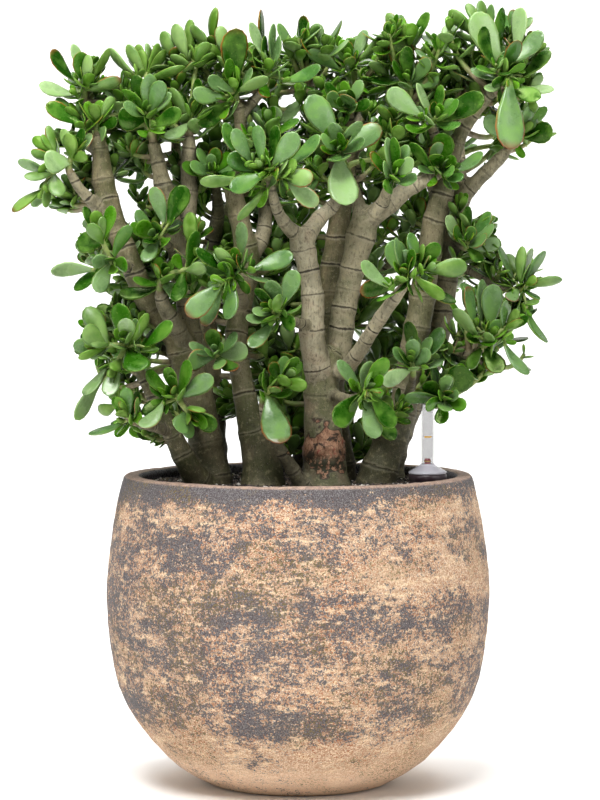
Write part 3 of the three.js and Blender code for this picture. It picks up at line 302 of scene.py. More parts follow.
# stems: (across, down, depth, radius) along each limb, from its root end
stems = {
    "stem_left": {
        "left_main": [(212, 512, 10, 22), (210, 470, 10, 18.5), (205, 440, 8, 17), (197, 400, 6, 17),
            (188, 365, 5, 16.5), (178, 338, 3, 15), (163, 318, 0, 13), (147, 300, -4, 12), (134, 270, -5, 11),
            (121, 238, -2, 11), (109, 205, 0, 11.5), (104, 182, 0, 11.5), (102, 158, 0, 9), (99, 136, 0, 7)],
        "left_high": [(103, 162, 3, 6), (91, 142, 12, 5.4), (85, 120, 15, 4.8), (85, 103, 13, 4.2)],
        "left_side": [(104, 214, -2, 7.5), (91, 200, -6, 6), (79, 187, -9, 5.2), (71, 173, -10, 4.6)],
        "left_knee": [(131, 268, -6, 5.5), (121, 263, -18, 4.4), (114, 259, -24, 4)],
        "left_bough": [(198, 392, 8, 12), (193, 345, 10, 10.5), (186, 302, 12, 10), (180, 265, 12, 9.5),
            (174, 236, 10, 9.5), (170, 210, 8, 9.5), (164, 188, 6, 9.5), (159, 165, 5, 7.5), (154, 143, 4, 6.5)],
        "left_spur": [(190, 352, 2, 9), (176, 325, -8, 8.5), (164, 306, -13, 7.5), (160, 292, -17, 6)],
        "left_third": [(178, 252, 12, 7), (187, 225, 22, 8), (190, 195, 22, 8.5), (189, 165, 20, 8.5),
            (190, 136, 18, 6)],
        "left_twig": [(173, 250, 6, 5), (167, 244, -6, 4.2), (163, 240, -12, 4)],
        "left_low": [(205, 492, -2, 14), (188, 465, -14, 11.5), (175, 440, -18, 9.5), (165, 418, -22, 8),
            (152, 395, -26, 6.5), (140, 372, -30, 5.5), (130, 354, -34, 4.5)],
        "left_foot": [(171, 433, -19, 6), (157, 428, -30, 5.2), (144, 425, -38, 4.6), (134, 422, -43, 4)],
        "left_front": [(196, 425, 2, 6), (190, 412, -24, 5), (181, 402, -40, 4)],
        "left_rear": [(186, 362, 8, 7), (166, 351, 22, 5.4), (146, 344, 30, 4.6), (132, 340, 28, 4)],
    },
    "stem_mid_left": {
        "mid_main": [(262, 512, 0, 23), (262, 470, 0, 20), (257, 440, 0, 17.5), (249, 415, 0, 13.5),
            (245, 395, 2, 11.5), (240, 370, 4, 11), (236, 350, 6, 11), (238, 320, 12, 11), (244, 290, 14, 12),
            (248, 262, 15, 12), (243, 235, 15, 11), (238, 210, 14, 10), (234, 190, 12, 9.5), (238, 158, 15, 7.5),
            (241, 125, 15, 6.5), (237, 104, 12, 6)],
        "mid_right": [(241, 118, 15, 6), (252, 104, 20, 5.5), (262, 93, 18, 4.6)],
        "mid_fork": [(250, 260, 16, 8), (262, 238, 24, 8), (266, 210, 34, 7.2), (268, 175, 42, 6.4),
            (266, 145, 40, 5.2)],
        "mid_blue": [(243, 304, 8, 6.5), (242, 296, -14, 5.6), (240, 284, -25, 5)],
        "mid_twig": [(237, 370, 0, 5), (226, 363, -20, 4.4), (219, 359, -30, 4)],
    },
    "stem_centre": {
        "centre_main": [(325, 512, -5, 25), (325, 480, -5, 22.5), (324, 450, -5, 20.5), (322, 425, -5, 18.5),
            (321, 400, -5, 16.5), (322, 380, -5, 17.5), (326, 360, -4, 17), (330, 350, -2, 12)],
        "centre_pale": [(319, 374, -8, 14), (314, 350, -12, 13), (312, 330, -14, 12.5), (313, 305, -14, 11.5),
            (311, 285, -14, 10.5), (307, 262, -14, 11), (302, 244, -14, 12.5), (301, 228, -14, 11.5)],
        "centre_left": [(301, 238, -14, 8.5), (287, 226, -22, 6.8), (278, 212, -28, 5.6), (273, 196, -33, 5),
            (270, 183, -36, 4.5)],
        "centre_knuckle": [(306, 237, -14, 9.5), (320, 218, -9, 8), (333, 206, -8, 7), (338, 196, -12, 5.5)],
        "centre_green": [(330, 374, -2, 14), (338, 350, 0, 13), (341, 335, 0, 12.5), (344, 310, 0, 12.5),
            (350, 280, 0, 12), (356, 255, 0, 13), (361, 235, 0, 14.5), (366, 216, 0, 14)],
        "centre_crown": [(362, 222, 2, 8.5), (358, 203, 6, 7), (352, 184, 4, 5.5)],
        "centre_mid": [(370, 220, -3, 8.5), (382, 203, -6, 6.5), (387, 190, -11, 5.2), (390, 182, -15, 4.4)],
        "centre_right": [(370, 218, 0, 11), (390, 203, 2, 10), (408, 189, 4, 8.5), (427, 180, 4, 7),
            (438, 175, 2, 5.6)],
        "centre_side": [(341, 374, -10, 8.5), (358, 353, -22, 7.5), (370, 334, -30, 7), (383, 314, -36, 7),
            (395, 298, -41, 6), (404, 286, -45, 5)],
        "centre_low": [(334, 395, -8, 6), (349, 399, -36, 5), (358, 397, -46, 4.2)],
        "centre_spur": [(308, 325, -18, 5.5), (296, 322, -28, 4.6), (286, 318, -34, 4)],
        "centre_thin": [(312, 500, -9, 10), (299, 480, -13, 8), (286, 459, -17, 6.5), (274, 438, -21, 5.5),
            (265, 420, -25, 5), (263, 405, -29, 4.5)],
    },
    "stem_back": {
        "back_main": [(340, 520, 52, 19), (336, 450, 50, 17), (331, 400, 46, 15), (329, 340, 42, 14),
            (331, 300, 40, 13), (333, 270, 40, 13), (337, 240, 38, 12), (340, 215, 38, 11), (345, 190, 38, 9),
            (350, 160, 36, 7.5), (350, 134, 32, 6.5), (348, 115, 26, 5.4)],
        "back_left_fork": [(345, 184, 38, 7), (327, 150, 56, 6.5), (313, 112, 66, 5.5), (308, 86, 70, 4.8)],
        "back_right_fork": [(350, 152, 36, 6.5), (359, 118, 52, 5.6), (356, 88, 58, 4.8)],
    },
    "stem_right": {
        "right_main": [(371, 512, 20, 20), (378, 475, 21, 18.5), (389, 445, 22, 17), (400, 415, 22, 15),
            (408, 385, 22, 13.5), (413, 350, 22, 13), (420, 310, 22, 13), (426, 270, 20, 13), (432, 235, 18, 12.5),
            (439, 205, 16, 12), (446, 180, 15, 10), (453, 155, 15, 8), (460, 135, 15, 7.5), (470, 118, 14, 7.5),
            (482, 104, 12, 6), (492, 92, 8, 5.2)],
        "right_side": [(447, 172, 14, 7), (438, 146, 6, 6), (432, 130, 0, 5.2)],
        "right_fork": [(439, 202, 18, 8), (425, 165, 38, 6.6), (414, 128, 44, 5.5), (411, 103, 40, 4.8)],
        "right_twig": [(408, 398, 14, 6), (411, 386, -16, 4.6), (413, 376, -32, 4)],
    },
    "stem_far_right": {
        "far_main": [(386, 515, 70, 17), (388, 470, 68, 16), (397, 435, 65, 15), (411, 400, 62, 14),
            (434, 350, 58, 12.5), (443, 310, 55, 11.5), (447, 270, 52, 11), (451, 240, 50, 10.5),
            (456, 215, 47, 10.5), (463, 193, 45, 9)],
        "far_up": [(461, 202, 46, 6), (461, 172, 48, 5), (460, 150, 51, 4.6), (459, 126, 56, 4.4), (458, 104, 60, 4)],
        "far_right": [(462, 197, 45, 8.5), (479, 179, 42, 7.5), (493, 165, 40, 7), (506, 152, 38, 5.8)],
        "far_low": [(441, 345, 56, 6.5), (452, 349, 24, 5.2), (468, 355, 0, 4.6), (481, 349, -14, 4)],
        "far_out": [(448, 264, 52, 6), (470, 271, 42, 5.2), (494, 284, 27, 4.6), (512, 291, 16, 4)],
        "far_dark": [(453, 234, 48, 5.6), (461, 245, 24, 4.6), (465, 248, 8, 4)],
        "far_foot": [(413, 396, 62, 7), (431, 401, 26, 5.4), (436, 405, -8, 4.6)],
    },
    "stem_back_left": {
        "rear_left": [(216, 520, 66, 17), (212, 450, 74, 15), (211, 400, 80, 13), (208, 350, 84, 12),
            (206, 300, 82, 11), (210, 255, 68, 9.5), (217, 222, 50, 7.5), (218, 204, 40, 6), (216, 186, 32, 4.8)],
        "rear_left_high": [(207, 305, 84, 9), (192, 262, 108, 8), (182, 215, 122, 7), (178, 170, 128, 6),
            (176, 136, 132, 5)],
        "rear_left_out": [(209, 352, 86, 8), (180, 322, 108, 6.6), (152, 292, 118, 5.4), (136, 268, 122, 4.4)],
        "rear_left_low": [(212, 402, 82, 7.5), (198, 385, 112, 6), (188, 372, 134, 4.6)],
        "rear_left_mid": [(212, 245, 66, 7), (228, 212, 98, 6), (238, 175, 118, 5)],
    },
    "stem_back_right": {
        "rear_right": [(302, 520, 92, 17), (308, 450, 98, 15), (318, 400, 106, 13), (330, 350, 112, 12),
            (340, 300, 116, 11), (348, 255, 120, 9.5), (354, 210, 124, 8), (358, 165, 128, 6.5), (360, 130, 132, 5)],
        "rear_right_out": [(334, 332, 114, 9), (362, 296, 128, 7.6), (392, 258, 134, 6.4), (420, 218, 132, 5.6),
            (440, 180, 130, 4.6)],
        "rear_right_low": [(320, 395, 108, 7.5), (346, 372, 134, 6), (364, 356, 150, 4.6)],
        "rear_right_in": [(345, 272, 118, 7), (318, 236, 136, 6), (300, 200, 146, 5)],
    },
}

stemShape = {
    "samplesPerSpan": 8, "sides": 18, "voxel": 2.5, "smoothing": 2,
    "ringEvery": (7, 1.9),  # the rings lie this far apart: a constant and a share of the radius
    "ringUneven": (0.6, 1.35), "pastEnds": 60,
    "ringSwell": 0.1, "ringGroove": 0.7, "grooveWidth": 1.6, "faintest": 0.25, "lumps": 0.06,
    "flare": 0.12, "soilLine": 292, "flareHeight": 14,
    "batch": 4000,  # how many points are measured at a time
}
stemTones = {  # how pale, how olive and how pink the bark of a limb is
    "left_main": (0.05, 0.5, 0), "left_low": (0.05, 0.6, 0), "left_bough": (0.25, 0.3, 0), "mid_main": (0.15, 0.8, 0),
    "mid_fork": (0.45, 0.1, 0), "centre_main": (0.3, 0.9, 0.25), "centre_pale": (0.95, 0.1, 0.2),
    "centre_knuckle": (0.7, 0.15, 0.15), "centre_left": (0.6, 0.1, 0.1), "centre_green": (0.45, 0.5, 0),
    "centre_mid": (0.6, 0.1, 0), "centre_right": (0.7, 0.1, 0), "centre_side": (0.65, 0.1, 0.1),
    "centre_thin": (0.5, 0.15, 0), "back_main": (0.02, 0.3, 0.1), "right_main": (0.2, 0.5, 0),
    "far_main": (0.3, 0.3, 0), "rear_left": (0.1, 0.3, 0), "rear_right": (0.1, 0.3, 0),
}
plainTone = (0.4, 0.15, 0)


def smoothSpan(b, c, m1, m2, w):
    # a smooth curve from b to c that leaves along m1 and arrives along m2
    return b + m1 * w + (c * 3 - b * 3 - m1 * 2 - m2) * w * w + (b * 2 - c * 2 + m1 + m2) * w ** 3


def mapOf(points):
    # finds the nearest of some points
    known = KDTree(len(points))
    for k, p in enumerate(points):
        known.insert(p, k)
    known.balance()
    return known


def curvePoint(points, t):
    last = len(points) - 1
    i = min(int(last * t), last - 1)
    a = points[i - 1] if i > 0 else points[0] * 2 - points[1]
    b, c = points[i], points[i + 1]
    d = points[i + 2] if i + 2 <= last else points[last] * 2 - points[last - 1]
    k0, k1, k2 = ((q - p).length_squared ** 0.25 for p, q in ((a, b), (b, c), (c, d)))
    m1 = ((b - a) / k0 - (c - a) / (k0 + k1) + (c - b) / k1) * k1
    m2 = ((c - b) / k1 - (d - b) / (k1 + k2) + (d - c) / k2) * k1
    return smoothSpan(b, c, m1, m2, last * t - i)


def curveTangent(points, t):
    step = 0.0001
    return (curvePoint(points, min(t + step, 1)) - curvePoint(points, max(t - step, 0))).normalized()


limbs = {}  # each limb's samples, radii, lengths along it, and its end
for stemName, parts in stems.items():
    for limbName, path in parts.items():
        knots = [place(a, d, spreadDepth(z)) for a, d, z, r in path]
        count = stemShape["samplesPerSpan"] * (len(path) - 1)
        shares = [k / count for k in range(count + 1)]
        samples = [curvePoint(knots, t) for t in shares]
        radii = list(np.interp(np.array(shares) * (len(path) - 1), range(len(path)), [p[3] for p in path]))
        steps = [0] + [(q - p).length for p, q in zip(samples, samples[1:])]
        limbs[limbName] = {
            "stem": stemName, "points": samples, "radii": radii, "lengths": list(np.cumsum(steps)),
            "end": knots[-1], "along": curveTangent(knots, 1), "endRadius": path[-1][3],
            "deeper": spreadDepth(path[-1][2]) - path[-1][2],
        }


def tubeAlong(t, edges, sides):
    # a tube along each run of edges, as thick as its points' "girth"
    line = t.add("GeometryNodeMeshToCurve", {"Mesh": edges}).outputs[0]
    profile = t.add("GeometryNodeCurvePrimitiveCircle", {"Resolution": sides, "Radius": 1.0}).outputs[0]
    return t.add("GeometryNodeCurveToMesh", {"Curve": line, "Profile Curve": profile, "Scale": t.named("girth"),
                                             "Fill Caps": True}).outputs[0]


def makeTubeTree():
    t, given, out = newGeometryTree("tubeTree", {"Sides": "Int", "Material": "Material"})
    tube = tubeAlong(t, given["Geometry"], given["Sides"])
    t.link(t.skinned(t.realized(tube), given["Material"]), out.inputs[0])
    return t


def makeBarkMaterial():
    material, t, shader, place = newMaterial("jadeBark")
    spacing, girth, wound = t.split(t.painted("bark"))
    pale, olive, pink = t.split(t.painted("barkTone"))
    ahead, beside, strength = t.split(t.painted("ringTurn"))
    low = t.split(place)[2]
    patches = t.noise(place, 45, 4)
    mottle = t.noise(place, 170, 4, 0.65)
    streaks = t.noise(t.stretched(place, (620, 620, 150)), 1, 4, 0.65)
    cracks = t.noise(t.stretched(place, (260, 260, 50)), 1, 3, 0.6)
    grain = t.noise(place, 900, 3)
    wobble = t.noise(place, 160, 2)
    turn = t.maths("ABSOLUTE", t.maths("ARCTAN2", beside, ahead))
    # how far a spot is from the nearest ring scar, in mm
    line = t.total(t.times(turn, spacing, 1 / math.tau), (t.maths("SUBTRACT", wobble, 0.5), 3))
    strength = t.times(strength, t.between(girth, 13, 19, 1, 0.5))
    scar = t.times(t.between(line, 1.15, 0.35), strength)
    halo = t.times(t.between(line, 3.6, 1.8), t.between(line, 0.9, 1.6), strength, 0.35)
    pale = t.times(pale, t.between(mottle, 0.3, 0.52, 0.5, 1))
    base = t.mix(t.between(patches, 0.34, 0.64), srgb(64, 56, 36), srgb(118, 108, 76))
    base = t.coats(
        base,
        (t.times(olive, t.between(patches, 0.66, 0.4)), (86, 92, 38)),
        (t.times(pale, t.between(patches, 0.34, 0.56, 0.62, 1)), (178, 169, 142)),
        (t.times(pink, t.between(patches, 0.5, 0.66)), (158, 118, 98)),
        (t.between(streaks, 0.48, 0.34, 0, 0.55), (58, 50, 34)),
        # darker and more olive towards the foot of the stems
        (t.between(low, 0.45, 0.33, 0, 0.5), (38, 36, 18)),
        (t.between(mottle, 0.42, 0.3, 0, 0.5), (50, 43, 28)),
        (t.between(mottle, 0.56, 0.64, 0, 0.4), (160, 150, 112)),
        (t.between(cracks, 0.68, 0.74, 0, 0.5), (46, 38, 28)),
        (t.between(grain, 0.6, 0.74, 0, 0.35), (206, 200, 178)),
        (t.times(scar, 0.92), (38, 30, 20)),
        (halo, (178, 168, 142)))
    fibre = t.noise(t.stretched(place, (300, 300, 150)), 1, 5, 0.75, 0.6)
    flakes = t.noise(place, 95, 4, 0.6, 0.5)
    holes = t.times(t.between(t.noise(place, 210, 3, 0.6), 0.44, 0.5), t.between(low, 0.338, 0.322))
    torn = t.mix(t.between(fibre, 0.36, 0.58), srgb(104, 66, 46), srgb(158, 120, 92))
    torn = t.coats(
        torn,
        (t.between(fibre, 0.6, 0.72), (204, 158, 132)),
        (t.between(flakes, 0.45, 0.39), (50, 34, 20)),
        (t.between(flakes, 0.58, 0.66, 0, 0.85), (132, 52, 42)),
        (holes, (44, 42, 20)))
    base = t.mix(t.between(wound, 0.35, 0.5), base, torn)
    edge = t.times(t.between(wound, 0.08, 0.3), t.between(wound, 0.62, 0.42), 0.8)
    base = t.coats(base, (edge, (44, 28, 20)))
    # painted shade darkens the bark in the crevices between the stems
    t.link(paintedCreviceShade(t, base, 0.035, 0.75), shader.inputs["Base Color"])
    t.link(t.between(grain, 0.3, 0.7, 0.6, 0.8), shader.inputs["Roughness"])
    addBump(t, shader, t.total((streaks, 0.6), (grain, 0.3), (mottle, 0.8), (scar, -1.1)), 0.6, 0.0014)
    return material


barkMaterial = makeBarkMaterial()
tubeTree = makeTubeTree()
wound = {"centre": (324, 450), "half": (29, 24), "depth": 2.2, "stem": "stem_centre"}


def ringPlaces(lengths, radii, draw):
    # the ring scars along a limb, past both of its ends, and how strong each is
    constant, share = stemShape["ringEvery"]
    rings, at = [], -stemShape["pastEnds"] + draw.uniform(0, 12)
    while at < lengths[-1] + stemShape["pastEnds"]:
        rings.append(at)
        at += (constant + share * np.interp(at, lengths, radii)) * draw.uniform(*stemShape["ringUneven"])
    return np.array(rings), np.array([draw.uniform(stemShape["faintest"], 1) for at in rings])


def flareAt(z):
    # a stem is a little thicker where it leaves the grit
    return 1 + stemShape["flare"] * math.exp(-max(z - stemShape["soilLine"], 0) / stemShape["flareHeight"])


def stemWire(stemName, names):
    # the stem's limbs as runs of edges, as thick as their points' "girth"
    points, edges, girth = [], [], []
    for name in names:
        samples = limbs[name]["points"]
        edges += [(len(points) + k, len(points) + k + 1) for k in range(len(samples) - 1)]
        points += [p * mm for p in samples]
        girth += [r * mm * flareAt(p.z) for p, r in zip(samples, limbs[name]["radii"])]
    piece = newPiece("trunk_" + stemName[5:], points, [], edges)
    setAttribute(piece.data, "girth", "FLOAT", girth)
    return piece


def makeStem(stemName, draw):
    names = [name for name in limbs if limbs[name]["stem"] == stemName]
    piece = stemWire(stemName, names)
    runTree(piece, tubeTree, {"Sides": stemShape["sides"], "Material": barkMaterial})
    remesh = piece.modifiers.new("remesh", "REMESH")
    remesh.mode = "VOXEL"
    remesh.voxel_size = stemShape["voxel"] * mm
    piece.modifiers.new("smooth", "SMOOTH").iterations = stemShape["smoothing"]
    bake(piece)

    # each point of the skin goes with the limb sample whose surface is nearest
    at = readPoints(piece.data) / mm
    samples, radius, length = (np.array([v for name in names for v in limbs[name][key]])
                               for key in ("points", "radii", "lengths"))
    owner = np.array([k for k, name in enumerate(names) for _ in limbs[name]["points"]])
    nearest = np.empty(len(at), dtype=int)
    for start in range(0, len(at), stemShape["batch"]):
        some = slice(start, start + stemShape["batch"])
        away = np.linalg.norm(at[some, None, :] - samples[None], axis=2)
        nearest[some] = np.argmin(np.abs(away - radius), axis=1)
    # lengths are read off between samples, so that the rings run level round a limb
    ahead = np.array([path[min(k + 1, len(path) - 1)] - path[max(k - 1, 0)]
                      for path in (limbs[name]["points"] for name in names) for k in range(len(path))], dtype=float)
    ahead /= np.linalg.norm(ahead, axis=1)[:, None]
    run = length[nearest] + np.sum((at - samples[nearest]) * ahead[nearest], axis=1)
    thick = radius[nearest]
    run += 1.8 * roughnessAt(at, 14, 3) + 0.08 * thick * roughnessAt(at, 30, 4)
    turns, gaps, strength = np.empty(len(at)), np.empty(len(at)), np.empty(len(at))
    for k, name in enumerate(names):
        mine = owner[nearest] == k
        rings, strengths = ringPlaces(limbs[name]["lengths"], limbs[name]["radii"], draw)
        turns[mine] = np.interp(run[mine], rings, np.arange(len(rings)))
        gaps[mine] = np.diff(rings)[np.clip(turns[mine].astype(int), 0, len(rings) - 2)]
        strength[mine] = strengths[np.round(turns[mine]).astype(int)]
    # the bark swells at a ring, with a groove along it, and is lumpy between
    ring = np.abs(turns - np.round(turns)) * gaps
    lumps = roughnessAt(at, 26, 1) + 0.45 * roughnessAt(at, 9, 2)
    rise = stemShape["ringSwell"] * thick * np.exp(-(ring / (1.5 + 0.25 * thick)) ** 2)
    rise -= (stemShape["ringGroove"] * strength * np.exp(-(ring / stemShape["grooveWidth"]) ** 2)
             * np.clip(thick / 8, 0.4, 1))
    rise += stemShape["lumps"] * thick * lumps
    torn = np.zeros(len(at))
    if stemName == wound["stem"]:
        across = (at[:, 0] + sheet["axis"] - wound["centre"][0]) / wound["half"][0]
        up = (sheet["ground"] - at[:, 2] - wound["centre"][1]) / wound["half"][1]
        ragged = 0.5 * roughnessAt(at, 9, 5) + 0.3 * roughnessAt(at, 4, 6)
        torn = ease(1.05, 0.75, np.hypot(across, up) + ragged) * ease(4, -6, at[:, 1])
        rise += torn * (wound["depth"] * (roughnessAt(at, 5, 7) - 0.15))
    writePoints(piece.data, (at + readNormals(piece.data) * rise[:, None]) * mm)
    tones = np.array([stemTones.get(name, plainTone) for name in names])[owner[nearest]]
    angle = math.tau * turns
    for key, values in (("bark", np.stack([gaps, thick, torn], axis=1)), ("barkTone", tones),
                        ("ringTurn", np.stack([np.cos(angle), np.sin(angle), strength], axis=1))):
        setAttribute(piece.data, key, "FLOAT_VECTOR", values)
    shadeSmooth(piece)
    piece.data.materials.clear()
    piece.data.materials.append(barkMaterial)
    finish(piece, stemName)
    return piece


trunks = [makeStem(name, random.Random(40 + k)) for k, name in enumerate(stems)]
print("stems made:", sum(len(piece.data.polygons) for piece in trunks), "faces")

leafShape = {
    # share of the length, of the half width and of the thickness at each ring
    "stations": [(0, 0.17, 0.8), (0.13, 0.29, 1.05), (0.31, 0.6, 1.15), (0.51, 0.9, 1.05),
                 (0.7, 1, 0.95), (0.86, 0.83, 0.75), (0.96, 0.47, 0.45)],
    # the section: share of the half width, and of the half thickness
    "section": [(1, 0.05), (0.76, 0.66), (0, 0.42), (-0.76, 0.66), (-1, 0.05),
                (-0.74, -0.62), (0, -1), (0.74, -0.62)],
    # the same for the leaves at the back
    "plainStations": [(0, 0.18, 0.8), (0.3, 0.6, 1.15), (0.6, 1, 1), (0.88, 0.78, 0.7)],
    "plainSection": [(1, 0.05), (0.55, 0.6), (-0.55, 0.6), (-1, 0.05), (-0.5, -0.8), (0.5, -0.8)],
    "thickness": 0.1, "leastThickness": 2.0,
    # arch, cup, twist, skew and curl of the tip
    "variants": [(0.07, 0.10, 0.0, 0.0, 0.0), (0.04, 0.05, 0.2, 0.03, 0.02), (0.10, 0.16, -0.15, -0.02, 0.0),
                 (0.02, 0.02, 0.1, 0.02, -0.03), (0.12, 0.10, -0.25, 0.03, 0.03), (-0.02, 0.04, 0.15, 0.0, -0.05),
                 (0.06, 0.20, 0.1, -0.03, 0.0)],
    "clearance": 2.6, "woodClearance": 0.8, "pastBox": 3, "lowest": 320,
}
shootShape = {"base": 4.4, "end": 2.4, "sides": 8, "samples": 9, "inset": 2.5}


def makeLeafVariant(name, form, stations, section):
    arch, cup, twist, skew, curl = form
    n = len(section)
    points, spots = [], []
    for s, w, h in stations:
        middle = -4 * arch * s * (1 - s) - curl * s ** 3
        turn = twist * (s - 0.3)
        for side, lift in section:
            y = 0.5 * w * side
            z = middle + 0.25 * cup * side * side * w + lift * h * leafShape["thickness"] / 2
            points.append((s, y + skew * math.sin(math.pi * s), z + y * 0.5 * math.sin(turn)))
            spots.append((s, abs(side), 1 if lift < 0 else 0))
    points.append((1, 0, -curl))
    spots.append((1, 1, 0.3))
    rings = len(stations)
    faces = [(r * n + i, r * n + (i + 1) % n, (r + 1) * n + (i + 1) % n, (r + 1) * n + i)
             for r in range(rings - 1) for i in range(n)]
    last = (rings - 1) * n
    faces += [(last + i, last + (i + 1) % n, rings * n) for i in range(n)]
    faces.append(tuple(reversed(range(n))))
    leaf = newPiece(name, points, faces)
    setAttribute(leaf.data, "spot", "FLOAT_VECTOR", spots)
    shadeSmooth(leaf)
    return leaf


def makeLeafForms(name, stations, section):
    forms = bpy.data.collections.new(name)
    bpy.context.scene.collection.children.link(forms)
    for number, form in enumerate(leafShape["variants"]):
        leaf = makeLeafVariant(f"{name}{number}", form, stations, section)
        forms.objects.link(leaf)
        bpy.context.collection.objects.unlink(leaf)
    return forms


leafForms = makeLeafForms("leafForm", leafShape["stations"], leafShape["section"])
plainForms = makeLeafForms("plainForm", leafShape["plainStations"], leafShape["plainSection"])


def makeLeafMaterial():
    material, t, shader, place = newMaterial("jadeLeaf")
    tint, age, blush = t.split(t.painted("look"))
    along, side, under = t.split(t.painted("spot"))
    cloudy = t.noise(place, 60, 3)
    fine = t.noise(place, 420, 3)
    bright = t.times(t.between(tint, 0.5, 0.58), t.between(tint, 0.76, 0.7), 0.6)
    base = t.mix(age, srgb(73, 130, 16), srgb(38, 88, 9))
    base = t.coats(
        base,
        (t.between(tint, 0.42, 0.12, 0, 0.92), (14, 56, 2)),
        (bright, (100, 150, 34)),
        (t.between(tint, 0.72, 0.84, 0, 0.9), (94, 126, 74)),
        # the palest coat is a waxy bloom, and on the broad leaves it also paints in their broad sheen
        (t.between(tint, 0.86, 0.99), (143, 170, 116)),
        (t.between(cloudy, 0.45, 0.7, 0, 0.4), (110, 156, 56)),
        (t.between(cloudy, 0.45, 0.28, 0, 0.4), (24, 68, 2)),
        (t.between(fine, 0.58, 0.75, 0, 0.2), (152, 180, 84)))
    lower = t.mix(t.between(cloudy, 0.35, 0.65), srgb(84, 120, 34), srgb(124, 154, 76))
    base = t.mix(t.times(under, 0.6), base, lower)
    red = t.times(t.between(side, 0.84, 1.0), t.between(blush, 0.82, 0.95), t.between(along, 0.35, 0.7), 0.8)
    tipped = t.times(t.between(along, 0.84, 1.0), t.between(blush, 0.96, 0.985), 0.75)
    base = t.coats(
        base,
        (t.between(along, 0.16, 0.0, 0, 0.45), (150, 172, 70)),
        (t.times(t.between(side, 0.93, 1.0), 0.55), (170, 190, 92)),
        (tipped, (110, 44, 30)),
        (red, (156, 60, 34)))
    # painted light: the leaves get brighter towards the top of the crown, as if more light fell there
    paintedTopLight = t.between(t.split(place)[2], 0.46, 0.62, 1, 1.22)  # paler near the top
    base = t.add("ShaderNodeHueSaturation", {"Color": base, "Value": paintedTopLight}).outputs[0]
    # painted shade darkens the leaves in the crevices between them
    t.link(paintedCreviceShade(t, base, 0.03, 0.7), shader.inputs["Base Color"])
    t.link(t.mix(t.between(tint, 0.6, 0.8), (0.75, 1, 0.35, 1), (1, 1, 1, 1)), shader.inputs["Specular Tint"])
    t.link(t.total(t.between(cloudy, 0.3, 0.7, 0.22, 0.36), (under, 0.14)), shader.inputs["Roughness"])
    shader.inputs["Subsurface Weight"].default_value = 0.06
    shader.inputs["Subsurface Radius"].default_value = (0.3, 1.0, 0.15)
    shader.inputs["Subsurface Scale"].default_value = 0.004
    addBump(t, shader, t.total((cloudy, 1.6), (fine, 0.22)), 0.3, 0.0012)
    return material


def makeShootMaterial():
    material, t, shader, place = newMaterial("jadeShoot")
    cloudy = t.noise(place, 120, 3)
    fine = t.noise(place, 700, 3)
    patchy = t.between(cloudy, 0.35, 0.65)
    green = t.mix(patchy, srgb(108, 132, 62), srgb(146, 158, 88))
    brown = t.mix(patchy, srgb(96, 84, 58), srgb(136, 124, 94))
    wood = t.total(t.painted("woody", "Fac"), (cloudy, 0.5))
    base = t.mix(t.between(wood, 0.55, 1.0), green, brown)
    base = t.coats(base, (t.between(fine, 0.58, 0.7, 0, 0.4), (76, 62, 40)))
    t.link(base, shader.inputs["Base Color"])
    shader.inputs["Roughness"].default_value = 0.55
    addBump(t, shader, t.total(cloudy, (fine, 0.5)), 0.5, 0.0008)
    return material


def makeFoliageTree():
    # a leaf on each loose point, picked and turned by the point's attributes, and a tube along each run of edges
    t, given, out = newGeometryTree("foliageTree", {"Leaf Forms": "Collection", "Shoot Sides": "Int",
                                                    "Leaf Skin": "Material", "Shoot Skin": "Material"})
    parted = t.add("GeometryNodeSeparateGeometry", {"Geometry": given["Geometry"], "Selection": t.named("isLeaf")},
                   domain="POINT")
    forms = t.add("GeometryNodeCollectionInfo", {"Collection": given["Leaf Forms"], "Separate Children": True,
                                                 "Reset Children": True}).outputs[0]
    turn = t.add("FunctionNodeEulerToRotation", {"Euler": t.named("turn", "FLOAT_VECTOR")}).outputs[0]
    leaves = t.add("GeometryNodeInstanceOnPoints", {
        "Points": parted.outputs[0], "Instance": forms, "Pick Instance": True, "Instance Index": t.named("form", "INT"),
        "Rotation": turn, "Scale": t.named("size", "FLOAT_VECTOR")}).outputs[0]
    leaves = t.skinned(t.realized(leaves), given["Leaf Skin"])
    shoots = tubeAlong(t, parted.outputs[1], given["Shoot Sides"])
    shoots = t.add("GeometryNodeSetShadeSmooth", {"Geometry": shoots, "Shade Smooth": True}).outputs[0]
    joined = t.add("GeometryNodeJoinGeometry")
    t.link(t.skinned(shoots, given["Shoot Skin"]), joined.inputs[0])
    t.link(leaves, joined.inputs[0])
    t.link(t.realized(joined.outputs[0]), out.inputs[0])
    return t


leafMaterial = makeLeafMaterial()
shootMaterial = makeShootMaterial()
foliageTree = makeFoliageTree()

# what is already there, so that new leaves stay clear of it
taken = {}
cell = 8
woodSamples = [(p, r) for limb in limbs.values() for p, r in zip(limb["points"], limb["radii"])]
woodMap = mapOf([p for p, r in woodSamples])
# where a leaf's blade is sampled: shares of its length, and of its width to either side
bladeSpots = [(0.4, 0), (0.62, 0), (0.82, 0), (1, 0), (0.55, 0.36), (0.55, -0.36), (0.8, 0.42), (0.8, -0.42)]


def bladeSamples(base, tip, side, width):
    return [base + (tip - base) * s + side * (width * c) for s, c in bladeSpots]


def cellOf(p):
    return (int(p.x // cell), int(p.y // cell), int(p.z // cell))


def take(samples):
    for p in samples:
        taken.setdefault(cellOf(p), []).append(p)


def isFree(samples, room):
    for p in samples:
        x, y, z = cellOf(p)
        for i in (-1, 0, 1):
            for j in (-1, 0, 1):
                for k in (-1, 0, 1):
                    for q in taken.get((x + i, y + j, z + k), ()):
                        if (q - p).length_squared < room * room:
                            return False
        for q, index, away in woodMap.find_n(p, 3):
            if away < woodSamples[index][1] + leafShape["woodClearance"]:
                return False
    return True


eye = Vector((0, -sheet["eyeDistance"], sheet["eyeHeight"]))


